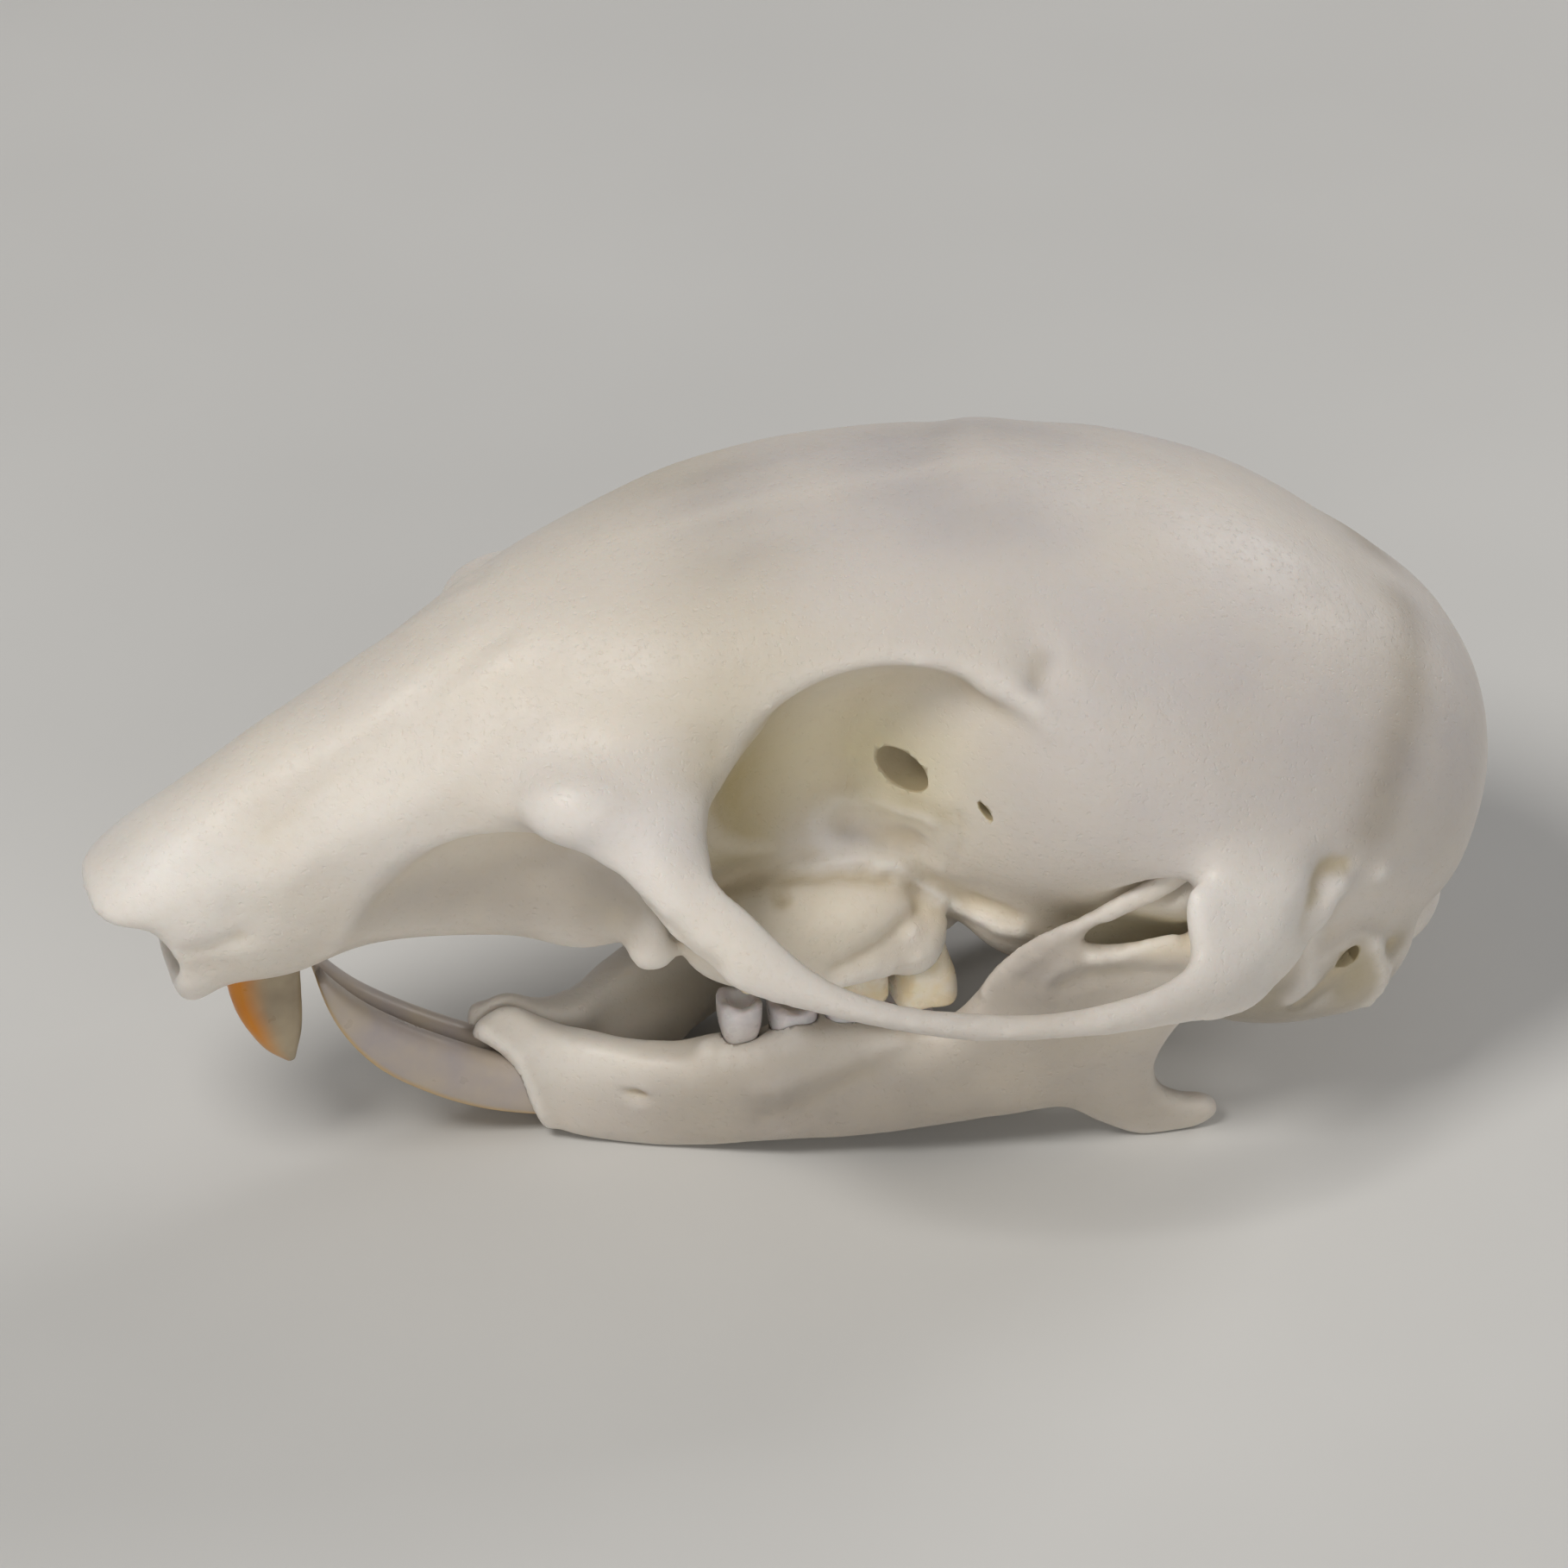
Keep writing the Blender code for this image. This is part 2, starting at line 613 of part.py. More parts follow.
def main():
    for obj in list(bpy.data.objects):
        bpy.data.objects.remove(obj)
    skull = bpy.data.collections.new("chipmunk_skull")
    bpy.context.scene.collection.children.link(skull)
    bone = (0.70, 0.66, 0.58)
    cranium = simplified(cranium_mesh(BONE_VOXEL, 6), CRANIUM_FACES)
    upper_sockets = []
    for word, side in SIDES.items():
        upper_sockets += teeth_row(side, word, skull, UPPER_ROW)
        jaw = footed(simplified(mandible_mesh(side, JAW_VOXEL, 4), MANDIBLE_FACES))
        lower_sockets = teeth_row(side, word, skull, LOWER_ROW)
        finish(f"mandible_{word}", carve(jaw, lower_sockets), skull, bone, 0.5)
    finish("cranium", carve(cranium, upper_sockets), skull, bone, 0.5)


main()
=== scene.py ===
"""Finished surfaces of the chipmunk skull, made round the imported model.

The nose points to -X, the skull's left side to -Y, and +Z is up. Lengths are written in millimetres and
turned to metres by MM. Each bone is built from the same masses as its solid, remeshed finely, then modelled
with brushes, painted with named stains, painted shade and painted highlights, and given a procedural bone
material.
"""

import math

import bmesh
import bpy
import numpy as np
from mathutils import Matrix, Vector
from mathutils.kdtree import KDTree


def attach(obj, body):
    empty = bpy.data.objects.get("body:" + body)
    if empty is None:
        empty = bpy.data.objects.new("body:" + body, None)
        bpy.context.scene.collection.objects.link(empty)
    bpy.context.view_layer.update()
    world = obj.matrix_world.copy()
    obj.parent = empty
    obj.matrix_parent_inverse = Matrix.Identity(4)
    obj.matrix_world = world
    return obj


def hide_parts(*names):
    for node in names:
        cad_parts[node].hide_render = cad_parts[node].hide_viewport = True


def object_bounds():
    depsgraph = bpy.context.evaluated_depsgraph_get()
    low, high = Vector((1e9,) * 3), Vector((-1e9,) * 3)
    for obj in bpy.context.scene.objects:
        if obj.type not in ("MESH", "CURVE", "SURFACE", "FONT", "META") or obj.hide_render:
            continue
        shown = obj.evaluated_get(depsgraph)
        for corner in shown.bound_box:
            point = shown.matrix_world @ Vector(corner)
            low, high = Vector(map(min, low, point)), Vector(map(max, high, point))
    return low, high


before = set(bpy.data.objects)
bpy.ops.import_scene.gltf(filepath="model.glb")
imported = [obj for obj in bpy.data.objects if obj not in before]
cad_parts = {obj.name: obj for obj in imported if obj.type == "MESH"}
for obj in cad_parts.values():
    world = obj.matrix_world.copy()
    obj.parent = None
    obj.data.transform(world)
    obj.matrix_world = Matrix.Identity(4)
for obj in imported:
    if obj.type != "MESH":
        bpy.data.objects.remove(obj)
cad_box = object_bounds()

MM = 0.001
LEFT, RIGHT = -1, 1
SIDES = {"left": LEFT, "right": RIGHT}

# Driving dimensions
SOCKET_GAP = 0.03
JAW_GAP = 0.26
BONE_VOXEL = 0.22
JAW_VOXEL = 0.16
FINE_BONE = 0.178
FINE_JAW = 0.11
RING_SIDES = 96
LIMB_SIDES = 16
SOCKET_SIDES = 32
HOLE_SIDES = 40
INCISOR_CORNERS = 0.75      # power of the section's sine and cosine; 1 is an ellipse, less is squarer
SOCKET_CORNERS = 0.70
CHEEK_TOOTH_CORNERS = 0.65
ENAMEL_HEIGHT = 0.03        # how proud the enamel stands of the dentine
ENAMEL_FACING = 0.55        # enamel covers what faces front at least this squarely
CUSP_HEIGHT = 0.16
CUSP_SHARE = 0.80           # share of the full size at which a cusp is highest
CUSP_SPREAD = 0.20
CUSP_REACH = 0.30           # cusps stand only this near to the biting edge
BOX_MARGIN = 0.002
HOLLOW_DEPTH = 0.12         # a hollow this deep has the full painted shade
FLOOR_DROP = 0.02
SKY_COLOUR = (0.80, 0.82, 0.85, 1)
SKY_STRENGTH = 0.20

# The cranium's body from nose to occiput: x, half width, top, height of the widest line, bottom,
# roundness above and roundness below (2 is an ellipse, more is squarer, less is sharper)
FACE_STATIONS = (
    (-20.35, 0.90, 10.45, 10.05, 9.75, 2.0, 2.0),
    (-20.00, 1.60, 10.75, 9.95, 9.50, 2.0, 2.0),
    (-19.30, 2.05, 11.30, 9.90, 9.30, 2.1, 2.0),
    (-18.50, 2.25, 11.95, 10.05, 9.05, 2.1, 2.0),
    (-18.10, 2.30, 12.25, 10.00, 6.95, 2.1, 2.4),
    (-16.50, 2.45, 13.35, 10.20, 6.75, 2.1, 2.6),
    (-14.50, 2.85, 14.60, 10.90, 6.65, 2.1, 2.3),
    (-13.00, 3.20, 15.45, 11.50, 7.20, 2.1, 2.0),
    (-11.00, 3.65, 16.60, 12.40, 7.50, 2.1, 2.2),
    (-9.00, 4.20, 17.75, 13.40, 7.35, 2.1, 2.4),
    (-7.00, 4.75, 18.55, 14.60, 7.05, 2.0, 2.4),
    (-5.00, 5.25, 19.10, 15.60, 7.00, 2.0, 1.9),
    (-2.50, 5.70, 19.65, 16.50, 7.40, 2.0, 1.6),
    (0.00, 5.80, 20.05, 17.00, 7.30, 2.0, 1.6),
    (2.00, 5.90, 20.20, 16.90, 7.30, 2.0, 1.6),
    (4.00, 6.20, 20.22, 16.20, 7.30, 2.0, 1.6),
    (5.60, 6.30, 20.05, 15.60, 7.60, 2.0, 1.6),
    (7.00, 5.40, 19.60, 15.00, 8.00, 2.0, 1.6),
)
BRAIN_STATIONS = (
    (0.40, 1.20, 14.50, 12.20, 9.60, 2.0, 2.0),
    (1.20, 2.60, 18.60, 12.60, 8.20, 2.0, 2.0),
    (2.50, 3.90, 20.05, 13.20, 7.20, 2.0, 2.0),
    (4.00, 5.30, 20.28, 13.60, 6.80, 2.0, 2.0),
    (6.00, 7.05, 20.30, 13.60, 6.50, 2.0, 2.0),
    (8.00, 7.80, 19.70, 12.70, 6.20, 2.0, 2.0),
    (10.00, 8.20, 19.20, 11.90, 5.80, 2.0, 2.1),
    (12.00, 8.20, 18.50, 11.10, 5.40, 2.0, 2.2),
    (14.00, 7.90, 17.45, 10.50, 5.10, 2.0, 2.2),
    (16.00, 7.30, 16.00, 9.80, 4.90, 2.0, 2.2),
    (17.50, 6.50, 14.80, 9.40, 4.95, 2.0, 2.2),
    (18.70, 5.45, 13.75, 9.50, 5.70, 2.0, 2.2),
    (19.60, 4.10, 12.75, 9.80, 7.20, 2.0, 2.0),
    (20.15, 2.50, 11.70, 10.00, 8.40, 2.0, 2.0),
    (20.40, 1.00, 10.80, 10.10, 9.40, 2.0, 2.0),
)
# Zygomatic arch: x, distance from the midline, z, half height, half thickness, degrees that its top leans in
ARCH_STATIONS = (
    (-9.60, 3.10, 13.90, 1.10, 0.80, 40),
    (-7.60, 4.70, 14.35, 1.10, 0.85, 40),
    (-5.90, 6.80, 13.35, 0.95, 0.65, 38),
    (-4.30, 8.45, 11.98, 1.15, 0.55, 34),
    (-2.90, 9.35, 10.82, 0.92, 0.50, 30),
    (-1.40, 10.00, 10.05, 0.56, 0.48, 24),
    (2.60, 10.90, 8.95, 0.46, 0.45, 14),
    (6.60, 10.98, 8.58, 0.52, 0.45, 10),
    (8.60, 10.50, 8.45, 0.74, 0.50, 12),
    (9.80, 9.95, 8.45, 1.05, 0.60, 14),
    (11.00, 9.20, 8.70, 1.40, 0.75, 16),
)
# Hind root of the arch, in the same columns
ROOT_STATIONS = (
    (9.40, 9.55, 9.20, 2.05, 0.42, 18),
    (10.40, 9.25, 9.15, 2.25, 0.65, 18),
    (11.50, 8.75, 9.20, 2.25, 0.90, 18),
    (12.60, 7.80, 9.90, 1.65, 1.20, 20),
    (14.00, 6.60, 10.20, 1.20, 1.10, 22),
)
# Cheek, zygomatic plate, process behind the orbit and pterygoid wing, in the same columns
CHEEK_STATIONS = (
    (-5.0, 3.6, 15.6, 1.1, 1.5, 0),
    (-5.1, 5.4, 14.5, 1.0, 1.5, 0),
    (-5.1, 7.1, 13.1, 0.9, 1.2, 0),
    (-4.7, 8.2, 12.2, 0.7, 0.9, 0),
)
PLATE_STATIONS = (
    (-6.6, 3.1, 12.0, 0.85, 0.50, 0),
    (-5.9, 3.2, 10.6, 0.85, 0.50, 0),
    (-5.3, 3.5, 9.3, 0.85, 0.50, 0),
    (-4.9, 4.0, 8.3, 0.85, 0.50, 0),
)
BROW_STATIONS = (
    (4.2, 5.6, 17.0, 0.6, 0.5, 0),
    (5.4, 6.2, 16.3, 0.42, 0.35, 0),
    (6.3, 6.75, 15.3, 0.22, 0.25, 0),
)
WING_STATIONS = (
    (2.9, 2.6, 8.6, 1.2, 0.45, 0),
    (4.6, 2.5, 7.6, 1.1, 0.4, 0),
    (6.4, 2.2, 6.0, 0.7, 0.3, 0),
    (6.9, 2.1, 5.3, 0.3, 0.22, 0),
)
# Round masses below the orbit and the braincase: x, distance from the midline and z of the centre, radii
LOWER_MASSES = (
    ("front nub", (-4.85, 4.2, 8.05), (0.75, 0.55, 0.60)),
    ("side of the rostrum's base", (-6.3, 2.5, 9.6), (2.6, 1.15, 2.2)),
    ("bone over the tooth roots", (-0.5, 3.8, 7.85), (3.5, 1.45, 1.85)),
    ("wall of the palatine", (1.5, 2.6, 9.6), (2.3, 1.1, 1.4)),
    ("alveolar ridge", (0.9, 3.6, 7.2), (3.1, 1.15, 1.2)),
    ("bone round the third molar", (2.75, 3.6, 6.90), (1.1, 1.25, 1.1)),
    ("hind edge of the palate", (3.9, 1.7, 6.4), (1.0, 0.5, 1.1)),
    ("base of the braincase", (8.2, 2.8, 7.3), (3.8, 2.3, 2.4)),
)
# Mandible seen from the side: x, z, clockwise from the alveolus of the incisor
MANDIBLE_OUTLINE = (
    (-9.35, 3.20), (-8.95, 3.75), (-8.45, 4.05), (-7.90, 3.98), (-7.40, 3.60), (-6.70, 3.22),
    (-5.80, 3.08), (-4.80, 3.15), (-3.60, 3.36), (-2.80, 3.60), (-1.60, 3.75), (-0.60, 4.40),
    (0.50, 4.60), (2.60, 4.30), (3.70, 4.55), (4.25, 5.40), (4.90, 6.80), (5.75, 7.90),
    (7.10, 8.90), (8.70, 10.05), (9.80, 10.70), (10.15, 10.62), (9.60, 10.02), (8.90, 9.52),
    (7.90, 8.92), (7.20, 8.42), (6.95, 8.10), (7.30, 7.92), (8.30, 7.98), (9.30, 8.12),
    (10.40, 8.15), (11.20, 8.45), (11.80, 8.00), (11.50, 7.10), (10.60, 5.80), (9.75, 4.20),
    (9.45, 2.90), (9.75, 1.80), (10.50, 1.15), (11.25, 0.95), (11.60, 0.52), (11.20, 0.08),
    (10.20, -0.06), (9.20, -0.06), (8.10, 0.50), (6.90, 1.35), (5.20, 1.15), (3.40, 0.90),
    (0.60, 0.55), (-1.20, 0.50), (-3.00, 0.05), (-4.60, -0.06), (-6.40, 0.10), (-7.10, 0.35),
    (-7.60, 0.95), (-8.05, 1.90), (-8.60, 2.75),
)
# Middle surface of the mandible, distance from the midline by x: at its lower edge and at its top
MANDIBLE_SPREAD = (
    (-9.4, 0.85, -0.90),
    (-8.0, 0.90, -0.50),
    (-6.9, 1.05, -0.20),
    (-5.8, 1.35, 0.60),
    (-4.9, 1.70, 2.20),
    (-3.6, 2.20, 3.40),
    (-1.2, 3.30, 3.60),
    (1.0, 3.70, 3.70),
    (4.0, 4.40, 5.20),
    (6.0, 4.80, 6.30),
    (9.0, 5.10, 7.10),
    (12.0, 5.20, 7.60),
)
# Half thickness of the mandible by x: at its lower edge and at its top
MANDIBLE_THICKNESS = (
    (-9.4, 0.75, 0.10),
    (-7.5, 0.90, 0.20),
    (-5.0, 0.95, 0.75),
    (-2.0, 0.92, 1.20),
    (2.0, 0.95, 1.15),
    (4.5, 0.62, 0.55),
    (8.0, 0.45, 0.45),
    (12.0, 0.50, 0.62),
)

# Incisors, from the root to the biting edge: x, distance from the midline, z, half depth, half width
UPPER_INCISOR_PATH = (
    (-12.60, 0.62, 9.60, 0.70, 0.40),
    (-14.10, 0.60, 9.00, 0.95, 0.46),
    (-15.05, 0.58, 7.90, 1.05, 0.50),
    (-15.30, 0.57, 6.90, 1.05, 0.50),
    (-15.22, 0.56, 5.90, 0.98, 0.50),
    (-15.02, 0.55, 5.00, 0.80, 0.49),
    (-14.80, 0.54, 4.20, 0.50, 0.46),
    (-14.62, 0.53, 3.72, 0.16, 0.38),
)
LOWER_INCISOR_PATH = (
    (-3.50, 1.55, 1.35, 0.62, 0.40),
    (-5.50, 1.20, 1.28, 0.72, 0.46),
    (-7.30, 0.80, 1.38, 0.80, 0.52),
    (-8.80, 0.64, 1.78, 0.84, 0.55),
    (-10.30, 0.60, 2.56, 0.84, 0.55),
    (-11.70, 0.59, 3.56, 0.74, 0.54),
    (-12.80, 0.57, 4.74, 0.48, 0.50),
    (-13.42, 0.55, 5.74, 0.24, 0.44),
    (-13.66, 0.54, 6.22, 0.12, 0.38),
)
# Cheek teeth: name, x, distance from the midline, half length, half width, height of the biting edge
UPPER_CHEEK_TEETH = (
    ("premolar", -1.70, 3.38, 0.58, 0.70, 5.90),
    ("first_molar", -0.27, 3.60, 0.70, 0.94, 5.55),
    ("second_molar", 1.33, 3.64, 0.72, 1.00, 5.32),
    ("third_molar", 3.14, 3.62, 0.95, 1.00, 4.85),
)
LOWER_CHEEK_TEETH = (
    ("premolar", -2.05, 2.95, 0.62, 0.68, 5.25),
    ("first_molar", -0.55, 3.10, 0.68, 0.82, 5.08),
    ("second_molar", 1.00, 3.22, 0.70, 0.88, 4.90),
    ("third_molar", 2.66, 3.34, 0.80, 0.86, 4.50),
)
# Heights of a cheek tooth measured from its biting edge: height, share of the full size
TOOTH_PROFILE = (
    (0.28, 0.45),
    (0.02, 0.80),
    (0.10, 0.97),
    (0.45, 1.00),
    (1.00, 0.92),
    (1.30, 0.81),
    (2.30, 0.54),
)


def through(points, count):
    """Points on one smooth curve through the given rows, at even steps of its length."""
    rows = np.array(points, float)
    steps = np.maximum(np.linalg.norm(np.diff(rows[:, :3], axis=0), axis=1), 1e-6)
    knots = np.concatenate([[0.0], np.cumsum(steps)])
    slopes = np.gradient(rows, knots, axis=0)
    places = np.linspace(0.0, knots[-1], count)
    index = np.clip(np.searchsorted(knots, places, side="right") - 1, 0, len(steps) - 1)
    width = steps[index][:, None]
    t = (places - knots[index])[:, None] / width
    start, end = rows[index], rows[index + 1]
    start_slope, end_slope = slopes[index] * width, slopes[index + 1] * width
    return (
        (2 * t**3 - 3 * t**2 + 1) * start
        + (t**3 - 2 * t**2 + t) * start_slope
        + (3 * t**2 - 2 * t**3) * end
        + (t**3 - t**2) * end_slope
    )


def turns(count, shift=0.0):
    """Even angles round a circle."""
    return [2 * math.pi * (k + shift) / count for k in range(count)]


def cornered(value, power):
    """A sine or cosine bent so that the circle that it draws grows corners."""
    return math.copysign(abs(value) ** power, value)


def values_of(items, key, width=3, kind=float):
    """One attribute of many mesh items, a row for each item."""
    flat = np.empty(len(items) * width, kind)
    items.foreach_get(key, flat)
    return flat.reshape(-1, width)


def meshed(bm, name):
    """The mesh of what has been built, which is then let go."""
    mesh = bpy.data.meshes.new(name)
    bm.to_mesh(mesh)
    bm.free()
    return mesh


def object_of(name, data):
    """A new object that shows this mesh, lamp or camera."""
    obj = bpy.data.objects.new(name, data)
    bpy.context.scene.collection.objects.link(obj)
    return obj


def baked(obj):
    """The object's mesh with its modifiers applied; the object itself is removed."""
    bpy.context.view_layer.update()
    graph = bpy.context.evaluated_depsgraph_get()
    mesh = bpy.data.meshes.new_from_object(obj.evaluated_get(graph))
    mesh.transform(obj.matrix_world)
    bpy.data.objects.remove(obj)
    return mesh


def loft(rings):
    """A closed mesh over rings of points in millimetres, with a flat cap at each end."""
    bm = bmesh.new()
    rows = [[bm.verts.new(Vector(point) * MM) for point in ring] for ring in rings]
    count = len(rows[0])
    for low, high in zip(rows, rows[1:]):
        for i in range(count):
            j = (i + 1) % count
            bm.faces.new((low[i], low[j], high[j], high[i]))
    bm.faces.new(reversed(rows[0]))
    bm.faces.new(rows[-1])
    bmesh.ops.recalc_face_normals(bm, faces=bm.faces)
    return meshed(bm, "loft")


def ellipsoid(centre, radii, turn=(0.0, 0.0, 0.0), segments=32):
    """A ball stretched to three radii, turned by degrees about X, Y and Z."""
    bm = bmesh.new()
    bmesh.ops.create_uvsphere(bm, u_segments=segments, v_segments=segments // 2, radius=1.0)
    angles = [math.radians(angle) for angle in turn]
    place = Matrix.Translation(Vector(centre) * MM)
    for angle, axis in zip(reversed(angles), "ZYX"):
        place = place @ Matrix.Rotation(angle, 4, axis)
    place = place @ Matrix.Diagonal((*(Vector(radii) * MM), 1.0))
    bmesh.ops.transform(bm, matrix=place, verts=bm.verts)
    return meshed(bm, "ellipsoid")


def body_ring(station):
    """One cross section of the cranium's body, across X."""
    x, half_width, top, widest, bottom, round_up, round_down = station
    ring = []
    for angle in turns(RING_SIDES):
        across, upward = math.cos(angle), math.sin(angle)
        power = 2 / (round_up if upward > 0 else round_down)
        reach = (top - widest) if upward > 0 else (widest - bottom)
        ring.append((x, half_width * cornered(across, power), widest + reach * cornered(upward, power)))
    return ring


def limb(rows, count):
    """A rod with an oval section along a path: x, y, z, half height, half thickness, lean outwards."""
    path = through(rows, count)
    directions = np.gradient(path[:, :3], axis=0)
    rings = []
    for row, direction in zip(path, directions):
        centre = Vector(row[:3])
        along = Vector(direction).normalized()
        level = along.cross(Vector((0, 0, 1))).normalized()
        upright = level.cross(along).normalized()
        lean = math.radians(row[5])
        tall = upright * math.cos(lean) + level * math.sin(lean)
        flat = level * math.cos(lean) - upright * math.sin(lean)
        rings.append([
            centre + tall * (row[3] * math.sin(angle)) + flat * (row[4] * math.cos(angle))
            for angle in turns(LIMB_SIDES)
        ])
    return loft(rings)


def placed(stations, side):
    """The stations of a rod on one side of the skull."""
    return [(x, side * y, z, tall, thick, side * lean) for x, y, z, tall, thick, lean in stations]


def joined(meshes):
    """Separate closed meshes as one."""
    bm = bmesh.new()
    for mesh in meshes:
        bm.from_mesh(mesh)
    return meshed(bm, "joined")


def modified(mesh, kind, **settings):
    """The mesh with one modifier applied."""
    obj = object_of("modified", mesh)
    modifier = obj.modifiers.new(kind.lower(), kind)
    for key, value in settings.items():
        setattr(modifier, key, value)
    return baked(obj)


def fuse(meshes, voxel):
    """One skin round all the meshes, made of cells of this size in millimetres."""
    return modified(joined(meshes), "REMESH", mode="VOXEL", voxel_size=voxel * MM)


def relaxed(mesh, rounds):
    """The mesh with its voxel steps smoothed out."""
    return modified(mesh, "SMOOTH", factor=0.5, iterations=rounds)


def swollen(mesh, by):
    """The mesh with its skin moved outwards."""
    return modified(mesh, "DISPLACE", mid_level=0.0, strength=by * MM)


def carve(mesh, cutters):
    """The mesh less each cutter."""
    obj = object_of("carving", mesh)
    tools = []
    for cutter in cutters:
        tool = object_of("cutter", cutter)
        cut = obj.modifiers.new("cut", "BOOLEAN")
        cut.operation = "DIFFERENCE"
        cut.object = tool
        tools.append(tool)
    result = baked(obj)
    for tool in tools:
        bpy.data.objects.remove(tool)
    return result


def masseter_space(side):
    """Cutter for the hollow below the front root of the zygomatic arch."""
    rings = []
    for y, scale in ((13.0, 1.0), (3.2, 1.0), (2.85, 0.95), (2.6, 0.86), (2.45, 0.70), (2.4, 0.4)):
        rings.append([
            (-8.4 + 5.6 * scale * math.cos(angle), side * y, 7.6 + 5.2 * scale * math.sin(angle))
            for angle in turns(RING_SIDES)
        ])
    return loft(rings)


def face(voxel):
    """Rostrum and forehead, hollowed by the eye sockets, the nose and the chewing muscles."""
    masses = [loft([body_ring(row) for row in through(FACE_STATIONS, 70)])]
    cutters = [ellipsoid((-18.6, 0.0, 8.6), (2.6, 1.6, 1.8), (0, -20, 0))]
    for side in SIDES.values():
        arch = placed(ARCH_STATIONS, side)
        masses += [
            limb(arch[:5], 16),
            limb(placed(CHEEK_STATIONS, side), 14),
            ellipsoid((-6.7, side * 5.0, 14.3), (2.2, 1.8, 1.35)),
        ]
        cutters += [
            ellipsoid((1.2, side * 7.5, 12.8), (5.3, 5.2, 5.2), segments=48),
            ellipsoid((5.5, side * 7.5, 11.5), (5.3, 5.0, 5.2), segments=48),
            masseter_space(side),
        ]
    return carve(relaxed(fuse(masses, voxel), 14), cutters)


def braincase(voxel):
    """The round hind part with the ear capsules and the hole for the spinal cord; the ear openings are cut
    later with the other holes.
    """
    masses = [loft([body_ring(row) for row in through(BRAIN_STATIONS, 60)])]
    cutters = [ellipsoid((20.0, 0.0, 6.6), (3.2, 2.0, 1.95), (0, 25, 0))]
    for side in SIDES.values():
        masses += [
            ellipsoid((13.0, side * 4.6, 6.4), (4.3, 2.7, 3.15), (0, 0, side * 16)),
            ellipsoid((14.9, side * 5.5, 5.9), (1.8, 1.6, 2.3)),
        ]
        cutters.append(ellipsoid((7.2, side * 10.4, 8.6), (4.4, 3.7, 3.8)))
    return carve(fuse(masses, voxel), cutters)


def cranium_additions():
    """Arches, alveolar ridges, processes and condyles, which the hollows don't cut."""
    pieces = []
    for side in SIDES.values():
        arch = placed(ARCH_STATIONS, side)
        pieces += [
            limb(arch[2:], 44),
            limb(placed(ROOT_STATIONS, side), 16),
            limb(placed(PLATE_STATIONS, side), 12),
            *[ellipsoid((x, side * y, z), radii) for _, (x, y, z), radii in LOWER_MASSES],
            limb(placed(BROW_STATIONS, side), 8),
            limb(placed(WING_STATIONS, side), 10),
            ellipsoid((17.6, side * 2.7, 5.1), (1.2, 1.1, 1.8), (0, 20, 0)),
        ]
    return pieces


def edge_distance(points, outline):
    """Distance of each x, z point to the nearest point of a closed outline."""
    best = np.full(len(points), 1e9)
    for place in outline:
        best = np.minimum(best, np.hypot(points[:, 0] - place[0], points[:, 1] - place[1]))
    return best


def by_x(table, x, share):
    """A value read from a table by x, between its lower-edge and its top column."""
    rows = np.array(table)
    low = np.interp(x, rows[:, 0], rows[:, 1])
    high = np.interp(x, rows[:, 0], rows[:, 2])
    return low + (high - low) * share


def mandible_blade(side, voxel):
    """The bone as a blade cut to the outline, bent along its middle surface and rounded at its rim."""
    outline = through(MANDIBLE_OUTLINE + MANDIBLE_OUTLINE[:1], 260)[:-1]
    slab = loft([[(x, y, z) for x, z in outline] for y in (-1.0, 1.0)])
    mesh = fuse([slab], voxel * 0.8)
    points = values_of(mesh.vertices, "co") / MM
    rim = np.clip(edge_distance(points[:, [0, 2]], outline) / 0.95, 0.0, 1.0)
    roundness = 0.45 + 0.55 * np.sqrt(1 - (1 - rim) ** 2)
    share = np.clip((points[:, 2] - 0.5) / 7.0, 0.0, 1.0)
    middle = by_x(MANDIBLE_SPREAD, points[:, 0], share)
    half = by_x(MANDIBLE_THICKNESS, points[:, 0], share)
    across = np.maximum(middle + points[:, 1] * half * roundness, 0.06)
    points[:, 1] = side * across
    mesh.vertices.foreach_set("co", (points * MM).ravel())
    if side < 0:
        mesh.flip_normals()
    return mesh


def mandible_mesh(side, voxel, rounds):
    """One half of the lower jaw, with its hinge knob and the swelling round the incisor's root."""
    root = [(-1.2, side * 2.9, 1.7, 0.4, 0.3, 0), (-2.4, side * 2.1, 1.5, 0.8, 0.6, 0)]
    root += [(x, side * y, z, 1.10, min(0.95, y - 0.12), 0) for x, y, z, _, _ in LOWER_INCISOR_PATH[:3]]
    pieces = [
        mandible_blade(side, voxel),
        ellipsoid((10.9, side * 7.15, 7.95), (1.15, 0.75, 0.6), (0, -15, 0)),
        limb(root, 16),
        ellipsoid((1.0, side * 3.2, 3.0), (3.4, 0.95, 1.0)),
    ]
    return relaxed(fuse(pieces, voxel), rounds)


def bent_rod(path, side, count, angles, power, wider, deeper):
    """A bent tooth with a rounded section; deeper is what is added to its half depth at each angle."""
    rows = through(path, count)
    slopes = np.gradient(rows[:, [0, 2]], axis=0)
    rings = []
    for (x, y, z, deep, wide), (run, rise) in zip(rows, slopes):
        length = math.hypot(run, rise)
        ring = []
        for angle, more in zip(angles, deeper):
            across = cornered(math.cos(angle), power) * (wide + wider)
            out = cornered(math.sin(angle), power) * (deep + more)
            ring.append((x + rise / length * out, side * (y + across), z - run / length * out))
        rings.append(ring)
    return loft(rings)


def incisor_socket(path, side):
    """Cutter for the socket of an incisor."""
    angles = turns(SOCKET_SIDES, 0.5)
    return bent_rod(path, side, 11, angles, SOCKET_CORNERS, SOCKET_GAP, [SOCKET_GAP] * SOCKET_SIDES)


